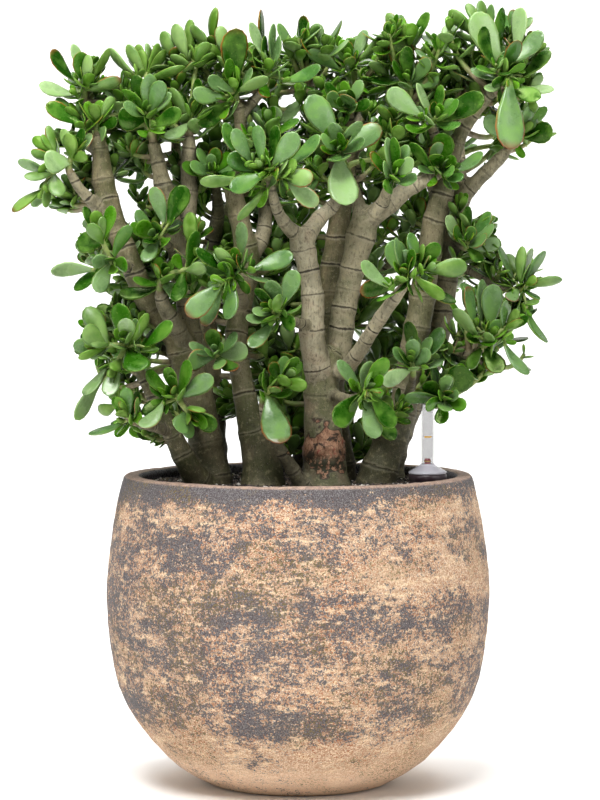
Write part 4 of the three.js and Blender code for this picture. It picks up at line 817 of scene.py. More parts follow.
def faceOf(along, axis):
    # the upper face of a leaf looks to its shoot's axis, and is turned up where the two are in line
    away = along - axis * along.dot(axis)
    if away.length < 0.05:
        return Vector((0, -1, 0))
    return axis * away.length - away.normalized() * along.dot(axis)


# what a bed keeps for each point: a leaf's turn, size, form and look, or a shoot's girth and how woody it is
bedFields = {"isLeaf": "FLOAT", "turn": "FLOAT_VECTOR", "size": "FLOAT_VECTOR", "form": "INT",
             "look": "FLOAT_VECTOR", "girth": "FLOAT", "woody": "FLOAT"}


def newBed():
    return {"points": [], "edges": [], **{key: [] for key in bedFields}}


def addPoint(bed, point, **values):
    bed["points"].append(point * mm)
    for key, kind in bedFields.items():
        bed[key].append(values.get(key, (0, 0, 0) if kind == "FLOAT_VECTOR" else 0))


def leafFrame(base, tip, axis, face=None):
    # the directions along a leaf, across it and up from it
    along = (tip - base).normalized()
    face = face or faceOf(along, axis)
    up = (face - along * face.dot(along)).normalized()
    return along, up.cross(along), up


def rolledFace(base, tip, axis, width, shown):
    # the face of a leaf that is turned about its length until it looks as wide from the front as it should
    along, side, up = leafFrame(base, tip, axis)
    level = along.cross((base - eye).normalized()).normalized()

    def misfit(roll):
        seen = abs((side * math.cos(roll) + up * math.sin(roll)).dot(level)) * width
        return abs(seen - shown) + 0.5 * abs(roll)

    roll = min([math.radians(12 * k) for k in range(-7, 8)], key=misfit)
    return up * math.cos(roll) - side * math.sin(roll)


def addLeaf(bed, base, tip, axis, width, look, draw, form=None, face=None):
    along, side, up = leafFrame(base, tip, axis, face)
    length = (tip - base).length
    thick = max(length, leafShape["leastThickness"] / leafShape["thickness"])
    turn = Matrix((along, side, up)).transposed().to_euler()
    if form is None:
        form = draw.randrange(len(leafShape["variants"]))
    addPoint(bed, base, isLeaf=1, turn=tuple(turn), size=(length * mm, width * mm, thick * mm), form=form, look=look)
    take(bladeSamples(base, tip, side, width))


def wantsLeaf(base, tip, axis, width, room):
    return isFree(bladeSamples(base, tip, leafFrame(base, tip, axis)[1], width), room)


def addShoot(bed, points, radii, woody):
    first = len(bed["points"])
    for p, r, w in zip(points, radii, woody):
        addPoint(bed, p, girth=r * mm, woody=w)
    bed["edges"] += [(first + k, first + k + 1) for k in range(len(points) - 1)]


def makeFoliage(name, bed, node=None, forms=leafForms):
    piece = newPiece(name, bed["points"], [], bed["edges"])
    for key, kind in bedFields.items():
        setAttribute(piece.data, key, kind, bed[key])
    runTree(piece, foliageTree, {"Leaf Forms": forms, "Shoot Sides": shootShape["sides"],
                                 "Leaf Skin": leafMaterial, "Shoot Skin": shootMaterial})
    bake(piece)
    for key in ("isLeaf", "turn", "size", "form", "girth"):
        if key in piece.data.attributes:
            piece.data.attributes.remove(piece.data.attributes[key])
    finish(piece, node)


def bezier(a, b, c, t):
    return a * (1 - t) ** 2 + b * (2 * t * (1 - t)) + c * t ** 2


leafLooks = {
    # the broad leaves mostly take the pale tints: a waxy bloom that also paints in their sheen
    "broad": 14, "paleShare": 0.66, "pale": (0.74, 0.96), "green": (0.05, 0.48), "narrow": 0.9,
    # single leaves with a look of their own, by where their tips are drawn
    "paleLeaves": {(346, 206), (51, 272), (474, 14), (45, 162)},
    "greyLeaves": {(281, 444), (510, 150), (203, 326), (187, 316)},
    "deepLeaves": {(237, 30), (119, 118), (404, 47), (186, 186), (482, 28), (552, 131), (396, 37), (199, 126)},
    "rimmedLeaves": {(237, 30), (313, 180), (396, 37), (381, 128), (305, 17), (349, 96), (318, 206), (462, 50),
                     (517, 42)},
}


def lookOf(draw, length, width, spot=None):
    # (how pale, how old, how red at its rim) a leaf is
    age = min(max((length - 12) / 34 + draw.uniform(-0.3, 0.3), 0), 1)
    tint = draw.random() * leafLooks["narrow"]
    if width >= leafLooks["broad"]:
        tint = draw.uniform(*leafLooks["pale" if draw.random() < leafLooks["paleShare"] else "green"])
    if spot in leafLooks["deepLeaves"]:
        tint = 0.15
    if spot in leafLooks["paleLeaves"]:
        tint = 0.95
    blush = 0.97 if spot in leafLooks["rimmedLeaves"] else draw.random()
    return (0.88, age, 1) if spot in leafLooks["greyLeaves"] else (tint, age, blush)


# the leafy sprays, by the limb that bears them: (the shoot's tip, (pairs, size) of its small leaves,
# [(leaf tip, and width), ...]) for each of its shoots
sprays = {
    "left_high": [
        ((88, 84, 6), (0, 0), [(40, 86, 0, 13), (122, 80, -6, 13), (54, 50, 12, 12), (73, 46, 20, 12),
            (112, 50, 0, 9), (80, 53, -10, 18), (92, 56, -14, 12)]),
        ((116, 98, 52), (2, 42), []),
    ],
    "left_main": [
        ((98, 119, -6), (0, 0), [(47, 105, -12, 17), (58, 98, 8, 14), (119, 122, -22, 12), (105, 137, -34, 12),
            (113, 97, -10, 12), (86, 103, -14, 11)]),
    ],
    "left_side": [
        ((75, 152, -14), (0, 0), [(45, 162, -32, 24), (64, 129, -18, 12), (84, 129, -12, 9), (88, 155, -30, 13)]),
        ((52, 154, -4), (0, 0), [(34, 138, -4, 12), (50, 126, 4, 11), (41, 174, 2, 9)]),
        ((48, 180, -8), (0, 0), [(19, 161, -6, 10), (12, 211, -10, 12), (31, 206, 8, 9), (47, 208, -18, 9),
            (60, 196, -32, 17)]),
    ],
    "left_bough": [
        ((148, 113, -16), (0, 0), [(135, 76, -14, 15), (151, 75, -26, 17), (164, 82, -30, 18), (123, 91, -22, 11),
            (124, 106, -38, 12), (173, 95, -20, 9), (119, 118, -22, 24), (183, 112, -40, 17)]),
        ((147, 72, 18), (0, 0), [(128, 46, 12, 11), (138, 46, 24, 9), (149, 45, 30, 8), (160, 45, 22, 9),
            (166, 51, 12, 10), (186, 68, 2, 9), (110, 50, 18, 9)]),
        ((128, 136, 48), (2, 42), []),
    ],
    "left_third": [
        ((192, 114, 8), (0, 0), [(172, 88, 0, 12), (200, 80, -8, 12), (166, 140, -18, 14)]),
        ((197, 62, 22), (0, 0), [(163, 33, 24, 12), (176, 25, 10, 16), (190, 21, 30, 11), (172, 56, 2, 9),
            (214, 54, 8, 9)]),
        ((176, 84, 64), (2, 42), []),
    ],
    "mid_main": [
        ((236, 87, 0), (0, 0), [(237, 30, -12, 27), (208, 80, -20, 14), (268, 79, -18, 13), (228, 61, -22, 13),
            (193, 95, -28, 17), (199, 126, 0, 20)]),
        ((221, 52, 26), (0, 0), [(216, 9, 28, 11), (213, 25, 38, 9), (191, 27, 14, 9), (205, 48, 4, 14)]),
    ],
    "mid_right": [
        ((268, 72, 10), (0, 0), [(250, 24, 2, 10), (259, 11, 30, 8), (273, 25, 18, 9), (264, 37, 8, 8),
            (279, 37, 0, 9), (320, 68, -16, 15), (264, 99, -12, 13)]),
    ],
    "mid_fork": [
        ((264, 124, 30), (1, 24), [(249, 102, 24, 13), (262, 103, 36, 11), (279, 109, 20, 18), (301, 103, 30, 12)]),
    ],
    "back_left_fork": [
        ((305, 62, 62), (1, 28), [(305, 17, 66, 11), (319, 25, 58, 17), (278, 25, 68, 9), (341, 21, 70, 8),
            (295, 38, 44, 12), (288, 50, 60, 11)]),
    ],
    "back_right_fork": [
        ((350, 63, 46), (1, 26), [(308, 52, 34, 15), (386, 35, 38, 11), (367, 32, 48, 11), (341, 41, 52, 13),
            (401, 80, 34, 12), (328, 46, 58, 11)]),
    ],
    "right_fork": [
        ((408, 82, 24), (0, 0), [(396, 37, 36, 27), (404, 47, 10, 15), (429, 61, 4, 16), (391, 63, 10, 10),
            (438, 76, 18, 21)]),
        ((407, 44, 44), (0, 0), [(386, 15, 46, 13), (428, 14, 42, 10), (400, 17, 60, 10), (411, 24, 28, 12),
            (454, 34, 46, 9)]),
    ],
    "right_main": [
        ((506, 74, -8), (0, 0), [(474, 14, -6, 28), (482, 28, -32, 13), (517, 42, -30, 15), (541, 33, -8, 18),
            (502, 9, 12, 12), (519, 9, 16, 15), (510, 150, -48, 28), (540, 99, -28, 17), (553, 90, 8, 9),
            (549, 52, 12, 13), (469, 71, 0, 10), (486, 92, -26, 12)]),
        ((477, 36, 22), (0, 0), [(447, 13, 24, 14), (480, 2, 22, 11), (490, 6, 10, 11), (467, 5, 32, 12)]),
    ],
    "far_right": [
        ((522, 134, 28), (0, 0), [(484, 118, 14, 19), (552, 131, 16, 22), (546, 108, 34, 12), (532, 104, 18, 13),
            (522, 159, 22, 9)]),
    ],
    "far_up": [
        ((458, 90, 58), (1, 28), [(462, 50, 44, 20), (444, 58, 48, 14), (440, 37, 66, 10), (486, 72, 66, 14)]),
        ((466, 92, 102), (2, 42), []),
    ],
    "right_side": [
        ((436, 118, -12), (0, 0), [(387, 91, -20, 21), (416, 84, -6, 9), (441, 86, -4, 10), (458, 101, -22, 11),
            (483, 96, -20, 24), (405, 128, -22, 10), (458, 126, -34, 12)]),
    ],
    "centre_crown": [
        ((337, 150, -38), (2, 42), [(308, 97, -32, 27), (346, 206, -62, 30), (360, 121, -54, 13), (381, 128, -28, 22),
            (319, 138, -62, 12), (364, 140, -44, 12)]),
        ((378, 160, -2), (0, 0), [(376, 124, 2, 16), (362, 165, -26, 18)]),
    ],
    "back_main": [
        ((346, 108, 6), (1, 24), [(325, 84, 0, 13), (343, 82, 10, 12), (363, 82, 4, 12), (349, 96, -24, 18),
            (370, 104, -8, 11)]),
    ],
    "centre_mid": [
        ((395, 176, -28), (0, 0), [(368, 154, -38, 10), (385, 138, -26, 10), (394, 138, -38, 12), (409, 146, -32, 12),
            (413, 160, -48, 14), (386, 191, -54, 13)]),
    ],
    "centre_right": [
        ((443, 168, -12), (0, 0), [(443, 134, -20, 23), (411, 142, -20, 11), (482, 153, -18, 13), (454, 174, -36, 14),
            (434, 156, -38, 15), (458, 190, -8, 8)]),
    ],
    "centre_left": [
        ((262, 166, -46), (0, 0), [(223, 124, -44, 13), (232, 130, -60, 16), (257, 126, -64, 12), (276, 126, -56, 11),
            (298, 134, -62, 20), (200, 183, -60, 11), (230, 190, -74, 18), (237, 220, -60, 9), (227, 158, -50, 20),
            (320, 136, -46, 12)]),
        ((284, 176, -48), (0, 0), [(313, 180, -70, 19), (318, 206, -52, 18), (297, 162, -66, 12)]),
    ],
    "rear_left": [
        ((213, 171, 10), (1, 22), [(217, 148, 4, 14), (197, 149, 12, 10), (182, 166, -4, 13), (231, 154, 8, 11),
            (234, 177, -2, 11)]),
    ],
    "left_knee": [
        ((112, 263, -44), (0, 0), [(51, 272, -38, 16), (96, 292, -56, 18), (74, 290, -24, 12), (132, 226, -34, 13)]),
        ((101, 236, -38), (0, 0), [(95, 211, -46, 14), (114, 206, -44, 12), (84, 207, -32, 9), (78, 242, -28, 22)]),
        ((104, 250, 50), (2, 43), []),
    ],
    "left_twig": [
        ((157, 236, -27), (0, 0), [(137, 210, -20, 12), (131, 224, -30, 11), (153, 187, -14, 17), (186, 186, -20, 21),
            (144, 263, -40, 15), (143, 246, -16, 14)]),
    ],
    "left_spur": [
        ((163, 276, -26), (0, 0), [(133, 279, -30, 9), (119, 293, -24, 12), (187, 294, -44, 20)]),
        ((194, 268, -34), (0, 0), [(174, 255, -42, 12), (196, 230, -42, 14), (190, 212, -26, 16),
            (176, 301, -56, 16)]),
    ],
    "mid_blue": [
        ((235, 266, -42), (0, 0), [(195, 250, -58, 12), (217, 247, -62, 13), (243, 222, -44, 12), (293, 254, -54, 19),
            (187, 316, -72, 22), (206, 268, -38, 20), (229, 320, -68, 16), (203, 326, -44, 13)]),
    ],
    "centre_spur": [
        ((272, 311, -48), (0, 0), [(256, 288, -54, 10), (271, 280, -64, 18), (296, 270, -46, 18), (246, 318, -56, 9),
            (294, 328, -66, 15), (249, 347, -56, 15), (276, 296, -76, 9)]),
    ],
    "mid_twig": [
        ((216, 353, -44), (0, 0), [(189, 344, -54, 12), (237, 333, -50, 10), (187, 363, -62, 21), (236, 370, -66, 14),
            (248, 349, -36, 20)]),
    ],
    "left_low": [
        ((126, 342, -48), (0, 0), [(127, 317, -66, 17), (148, 313, -50, 9), (174, 323, -54, 14), (140, 372, -78, 27),
            (119, 303, -40, 20), (138, 327, -36, 15)]),
        ((102, 346, -42), (0, 0), [(86, 307, -44, 20), (84, 330, -62, 21), (73, 346, -38, 15), (78, 358, -52, 9)]),
        ((116, 366, -46), (0, 0), [(107, 396, -60, 17), (83, 395, -44, 9), (75, 420, -40, 14)]),
    ],
    "left_foot": [
        ((126, 414, -50), (0, 0), [(113, 397, -48, 11), (126, 387, -56, 14), (138, 391, -46, 9), (142, 418, -66, 13),
            (88, 434, -52, 9)]),
        ((118, 404, 18), (2, 42), []),
    ],
    "left_front": [
        ((174, 394, -54), (0, 0), [(167, 367, -62, 12), (189, 360, -60, 12), (147, 370, -56, 12), (214, 377, -58, 19),
            (142, 414, -52, 17), (141, 426, -74, 15)]),
        ((190, 415, -58), (0, 0), [(179, 432, -76, 20), (217, 428, -62, 18)]),
    ],
    "centre_thin": [
        ((272, 389, -46), (0, 0), [(281, 444, -76, 29), (262, 372, -48, 11), (261, 396, -52, 12)]),
        ((284, 378, -56), (0, 0), [(272, 362, -62, 12), (298, 357, -60, 10), (308, 385, -70, 13),
            (286, 356, -48, 12)]),
    ],
    "centre_low": [
        ((366, 388, -62), (0, 0), [(336, 361, -62, 13), (387, 357, -68, 17), (349, 381, -78, 10), (394, 428, -86, 18),
            (335, 425, -84, 22), (376, 439, -82, 19), (394, 441, -58, 15)]),
        ((378, 404, 22), (2, 42), []),
    ],
    "right_twig": [
        ((412, 362, -44), (0, 0), [(408, 321, -38, 14), (414, 338, -58, 15), (393, 348, -50, 11), (443, 328, -36, 15),
            (381, 383, -62, 17), (431, 350, -58, 14), (433, 338, -44, 10)]),
    ],
    "centre_side": [
        ((404, 274, -56), (0, 0), [(361, 262, -68, 14), (360, 292, -60, 19), (392, 240, -46, 22), (393, 238, -66, 9),
            (414, 250, -70, 9)]),
        ((424, 267, -52), (0, 0), [(409, 233, -42, 12), (438, 243, -54, 16), (467, 266, -68, 19), (445, 298, -78, 12),
            (457, 301, -30, 12)]),
    ],
    "far_dark": [
        ((467, 241, -4), (0, 0), [(446, 216, -8, 11), (467, 206, 6, 12), (490, 212, 2, 13), (494, 226, -14, 11),
            (500, 243, 16, 16), (482, 262, -12, 12)]),
    ],
    "far_low": [
        ((490, 337, -24), (0, 0), [(493, 284, -14, 22), (467, 286, -24, 11), (454, 309, -42, 13), (480, 279, -2, 10),
            (501, 373, -36, 20), (466, 368, -22, 13)]),
        ((508, 325, -26), (0, 0), [(528, 375, -46, 11), (503, 300, -42, 10), (529, 317, -32, 10)]),
    ],
    "far_out": [
        ((528, 284, 6), (0, 0), [(522, 246, 4, 12), (532, 248, 16, 8), (545, 251, -2, 11), (562, 279, -8, 10),
            (547, 343, -6, 10), (508, 300, -14, 14), (496, 246, 18, 9), (460, 284, 0, 9)]),
        ((519, 274, 50), (2, 38), []),
    ],
    "far_foot": [
        ((446, 397, -58), (0, 0), [(468, 368, -54, 28), (431, 366, -58, 10), (425, 383, -66, 16), (467, 408, -68, 14),
            (448, 376, -74, 13), (431, 424, -72, 15), (404, 395, -66, 12), (424, 406, -76, 12)]),
    ],
    "rear_left_high": [((174, 104, 138), (3, 45), []), ((140, 140, 142), (1, 43), []), ((200, 96, 100), (1, 42), []),
        ((120, 104, 104), (2, 43), []), ((136, 160, 92), (2, 42), [])],
    "rear_left_out": [((118, 244, 128), (3, 44), []), ((150, 232, 150), (1, 42), []), ((88, 208, 102), (2, 43), []),
        ((124, 316, 116), (2, 42), [])],
    "rear_left_low": [((178, 352, 154), (3, 43), []), ((146, 372, 138), (1, 40), []), ((252, 304, 126), (2, 43), [])],
    "rear_left_mid": [((244, 140, 132), (3, 44), []), ((222, 166, 156), (1, 42), []), ((262, 78, 104), (1, 42), []),
        ((262, 208, 126), (2, 42), [])],
    "rear_right": [((364, 96, 134), (3, 45), []), ((330, 104, 150), (1, 43), []), ((396, 112, 112), (1, 42), []),
        ((304, 66, 116), (2, 43), [])],
    "rear_right_out": [((452, 146, 128), (3, 44), []), ((424, 160, 152), (1, 42), []), ((496, 146, 112), (2, 43), []),
        ((392, 196, 142), (2, 42), []), ((458, 232, 98), (2, 43), [])],
    "rear_right_low": [((378, 334, 164), (3, 43), []), ((408, 352, 104), (2, 42), []),
        ((418, 300, 104), (2, 43), [])],
    "rear_right_in": [((292, 170, 154), (3, 44), []), ((318, 188, 172), (1, 42), []), ((282, 254, 122), (2, 42), [])],
    "left_rear": [((118, 324, 20), (3, 43), []), ((104, 346, 8), (2, 42), [])],
}

largeLeafShape = {"leanest": 0.44, "leanestMost": 15, "longest": 80, "longBlade": 0.86, "blade": 2.1, "broad": 17}
stalk = {"least": 22, "share": 0.36, "shortest": 6, "radius": 1.7, "tries": 6}
stalks = []
largeBends = [(0, 0, 1), (-8, 0, 1), (8, 0, 1), (-16, 0, 1), (0, 6, 1), (0, -6, 1), (16, 0, 0.95), (-12, 6, 0.9),
              (-12, -6, 0.9), (-24, 0, 0.95), (0, 0, 0.85), (10, 8, 0.85), (10, -8, 0.85), (-30, 0, 0.85),
              (0, 0, 0.72)]
smallBends = [(0, 0, 1), (0.2, 0, 1), (-0.2, 0, 1), (0, 0.3, 1), (0, -0.3, 1), (0.2, 0.3, 0.9), (-0.2, -0.3, 0.9),
              (0.35, 0, 0.85), (-0.3, 0.3, 0.85), (0, 0, 0.75)]


def makeShoot(start, heading, to, thick, deeper):
    tip = place(to[0], to[1], to[2] + deeper)
    reach = (tip - start).length
    knee = start + heading * (reach * 0.4)
    steps = 1 if reach < 24 else 2
    axis = tip - bezier(start, knee, tip, 1 - 1 / steps)
    return {"start": start, "knee": knee, "tip": tip, "thick": thick, "deeper": deeper,
            "room": axis.length * 0.8, "axis": axis.normalized()}


def growShoots(bed, limbName, shoots):
    limb = limbs[limbName]
    start = limb["end"] + limb["along"] * 0.3
    radius = min(limb["endRadius"] * 0.9, shootShape["base"])
    first = makeShoot(start, limb["along"], shoots[0][0], radius, limb["deeper"])
    grown = [first]
    for to, *_ in shoots[1:]:
        ends = first["start"], first["knee"], first["tip"]
        heading = (bezier(*ends, 0.31) - bezier(*ends, 0.29)).normalized()
        grown.append(makeShoot(bezier(*ends, 0.3), heading, to, radius * 0.8, limb["deeper"]))
    count = shootShape["samples"]
    for k, shoot in enumerate(grown):
        points = [bezier(shoot["start"], shoot["knee"], shoot["tip"], j / count) for j in range(count + 1)]
        radii = [shoot["thick"] + (shootShape["end"] - shoot["thick"]) * j / count for j in range(count + 1)]
        woody = [max(0.9 - 1.6 * j / count, 0) for j in range(count + 1)]
        if k == 0:
            points.insert(0, points[0] - limb["along"] * shootShape["inset"])
            radii.insert(0, radii[0])
            woody.insert(0, 1)
        addShoot(bed, points, radii, woody)
    return grown


def shootFrame(axis, roll):
    u = Vector((0, 0, 1)).cross(axis)
    u = Vector((1, 0, 0)) if u.length < 0.1 else u.normalized()
    v = axis.cross(u)
    return lambda angle: u * math.cos(angle + roll) + v * math.sin(angle + roll)


def nodeMap(name):
    return mapOf([v.co / mm for v in nodes[name].data.vertices])


stalkLeaves = {"pairs": 3, "size": 22, "firstLean": 0.5, "leanStep": 0.4, "firstSize": 0.6, "gap": 3}


youngLeaves = {"pairs": 3, "size": 30, "firstLean": 0.14, "leanStep": 0.26, "firstSize": 0.55, "gap": 4, "room": 2.2}


def largeLeaf(bed, shoot, leaf, known, draw):
    across, down, depth, width = leaf
    rest = place(across, down, depth + shoot["deeper"])
    splay = (rest - shoot["tip"]).angle(shoot["axis"])
    base = shoot["tip"] - shoot["axis"] * min(2 + 4.5 * splay, shoot["room"])
    best = None
    for deeper, sideways, share in largeBends:
        along = rest - base
        beside = Vector((along.z, 0, -along.x)).normalized()
        tip = base + along * share + Vector((0, deeper, 0)) + beside * sideways
        away = known.find(tip)[2]
        if best is None or away < best[0] - 0.4:
            best = (away, tip, share)
    away, tip, share = best
    length = (tip - base).length
    shown = width * math.sqrt(share)
    least = min(largeLeafShape["leanest"] * length, largeLeafShape["leanestMost"])
    broad = max(width, least) * math.sqrt(share)
    if length > largeLeafShape["longest"]:
        blade = largeLeafShape["longBlade"] * length
    else:
        blade = min(length, max(largeLeafShape["blade"] * broad, stalk["least"] + stalk["share"] * length))
    start, axis = base, shoot["axis"]
    radial = (tip - base) / length
    if length - blade > stalk["shortest"]:
        # a long leaf stands on a short side stalk that turns up, with young leaves beside it
        isBroad = width > largeLeafShape["broad"]
        for attempt in range(stalk["tries"]):
            loose = Vector((draw.uniform(-1, 1), draw.uniform(-1, 0.6), draw.uniform(-0.5, 1)))
            along = Vector((radial.x, radial.y * (0.3 if isBroad else 0.7), radial.z))
            along += loose * (0.1 if isBroad else 0.2)
            along += Vector((0, 0, 0.15 if radial.z > -0.3 and width < 18 else 0))
            start = tip - along.normalized() * blade
            if wantsLeaf(start, tip, axis, broad, 3):
                break
        bend = base + radial * ((start - base).length * 0.6)
        stem = [bezier(base, bend, start + (tip - start) * 0.08, j / 4) for j in range(5)]
        addShoot(bed, stem, [stalk["radius"] * (1 - 0.06 * j) for j in range(5)], [0.3, 0.2, 0.1, 0, 0])
        stalks.append((bed, start, (tip - start).normalized(), axis))
    broad = max(broad, 0.43 * blade) * 1.04
    addLeaf(bed, start, tip, axis, broad, lookOf(draw, length, broad, (leaf[0], leaf[1])), draw,
            face=rolledFace(start, tip, axis, broad, shown))


def smallLeaves(bed, shoot, inner, seed, known, draw):
    # its own run of numbers, the same as the solid's, so that the leaves lie where the solid's do
    span = 2 ** 32
    state = seed * 2654435761 % span

    def step():
        nonlocal state
        state = (state * 1664525 + 1013904223) % span
        return state / span

    pairs, size = inner
    around = shootFrame(shoot["axis"], step() * math.pi)
    for pair in range(pairs):
        for half in (0, math.pi):
            turn = pair * math.pi / 2 + half + (step() - 0.5) * 0.4
            lean = 0.35 + 0.36 * pair + (step() - 0.5) * 0.2
            length = size * (0.62 + 0.17 * pair + (step() - 0.5) * 0.12)
            width = length * (0.42 + 0.08 * step())
            base = shoot["tip"] - shoot["axis"] * min(1 + 4 * pair, shoot["room"])
            tips = []
            for tilt, swing, share in smallBends:
                along = shoot["axis"] * math.cos(lean + tilt) + around(turn + swing) * math.sin(lean + tilt)
                tip = base + along * length * share
                tips.append((known.find(tip)[2], share, tip))
            away, share, tip = min(tips, key=lambda entry: entry[0])
            if away < 1.5:
                addLeaf(bed, base, tip, shoot["axis"], width * share * 1.05, lookOf(draw, length, width), draw)


def crossedPairs(bed, tip, axis, draw, pairs, size, firstLean, leanStep, firstSize, gap, room=leafShape["clearance"]):
    # crossed pairs round a shoot's tip: the youngest stand up, and each older pair is longer and spreads more
    around = shootFrame(axis, draw.uniform(0, math.pi))
    made = 0
    for pair in range(pairs):
        for half in (0, math.pi):
            turn = pair * math.pi / 2 + half + draw.uniform(-0.22, 0.22)
            lean = firstLean + leanStep * pair + draw.uniform(-0.12, 0.12)
            length = size * (firstSize + (1 - firstSize) * pair / max(pairs - 1, 1)) * draw.uniform(0.88, 1.12)
            width = length * draw.uniform(0.44, 0.58)
            base = tip - axis * (0.8 + gap * pair)
            look = lookOf(draw, length, width)
            form = draw.randrange(len(leafShape["variants"]))
            for tilt, swing, share in smallBends:
                along = axis * math.cos(lean + tilt) + around(turn + swing) * math.sin(lean + tilt)
                end = base + along * length * share
                if not insideBox(end) or isOpen(end) or isOpen(base + (end - base) * 0.62):
                    continue
                if wantsLeaf(base, end, axis, width * share, room):
                    addLeaf(bed, base, end, axis, width * share, look, draw, form)
                    made += 1
                    break
    return made


boxLow, boxHigh = (Vector(corner) / mm for corner in cadBounds)
openViews = [  # where the background shows round the crown and between the branches
    (0, 212, 77, 262), (0, 296, 77, 346), (86, 294, 111, 306), (0, 357, 97, 380), (0, 380, 84, 402),
    (84, 412, 110, 429), (0, 436, 142, 480), (142, 449, 168, 464), (36, 112, 74, 128), (478, 176, 600, 214),
    (498, 214, 600, 244), (502, 244, 516, 266), (548, 244, 600, 276), (549, 284, 600, 400), (541, 284, 549, 318),
    (533, 345, 560, 400), (502, 352, 512, 380), (462, 379, 600, 404), (438, 426, 600, 470), (456, 404, 600, 470),
    (542, 50, 560, 74), (536, 78, 560, 106), (548, 20, 600, 78), (204, 0, 214, 30), (222, 0, 247, 28),
    (251, 12, 271, 34), (266, 24, 286, 48), (278, 34, 288, 54), (328, 0, 358, 36), (426, 0, 447, 34),
    (96, 38, 112, 56), (108, 60, 124, 78), (276, 88, 298, 108), (281, 112, 298, 127), (118, 180, 129, 220),
    (129, 199, 140, 206), (488, 374, 600, 404), (524, 340, 533, 352), (508, 161, 600, 180), (465, 194, 480, 216),
    (158, 200, 169, 234), (412, 412, 436, 430), (204, 200, 218, 226), (134, 166, 151, 185), (126, 206, 138, 221),
    (462, 150, 482, 182), (468, 122, 494, 152), (496, 344, 523, 376), (72, 262, 113, 287), (96, 394, 115, 418),
    (70, 372, 104, 410), (70, 205, 86, 232), (508, 138, 560, 182), (550, 100, 600, 130), (486, 156, 520, 190),
    (519, 320, 537, 336), (203, 6, 218, 36), (280, 16, 302, 36), (368, 10, 386, 30), (80, 40, 98, 56),
    (478, 275, 501, 289), (229, 418, 240, 466), (404, 430, 437, 466), (0, 98, 44, 128), (0, 178, 40, 198),
]


def isOpen(p):
    k = 1 + p.y / sheet["eyeDistance"]
    across = p.x / k + sheet["axis"]
    down = sheet["ground"] - sheet["eyeHeight"] - (p.z - sheet["eyeHeight"]) / k
    return any(x0 < across < x1 and y0 < down < y1 for x0, y0, x1, y1 in openViews)


def insideBox(p):
    # in the solids' box, or just past it, and clear of the pot's mouth
    margin = leafShape["pastBox"]
    return all(boxLow[k] - margin < p[k] < boxHigh[k] + margin for k in range(3)) and p.z > leafShape["lowest"]


beds = []
for number, (limbName, shoots) in enumerate(sprays.items(), 1):
    draw = random.Random(700 + number)
    bed = newBed()
    known = nodeMap(f"spray_{number:02d}")
    grown = growShoots(bed, limbName, shoots)
    for shoot, (to, inner, leaves) in zip(grown, shoots):
        for leaf in leaves:
            largeLeaf(bed, shoot, leaf, known, draw)
        smallLeaves(bed, shoot, inner, number * 8 + grown.index(shoot), known, draw)
    beds.append((bed, grown))
young = 0
for number, (bed, grown) in enumerate(beds, 1):
    draw = random.Random(900 + number)
    for shoot in grown:
        young += crossedPairs(bed, shoot["tip"], shoot["axis"], draw, **youngLeaves)
draw = random.Random(990)
for bed, start, along, axis in stalks:
    young += crossedPairs(bed, start, (along + axis * 0.7).normalized(), draw, **stalkLeaves)
for number, (bed, grown) in enumerate(beds, 1):
    makeFoliage(f"leaves_{number:02d}", bed, f"spray_{number:02d}")
print("sprays made, with", young, "young leaves")

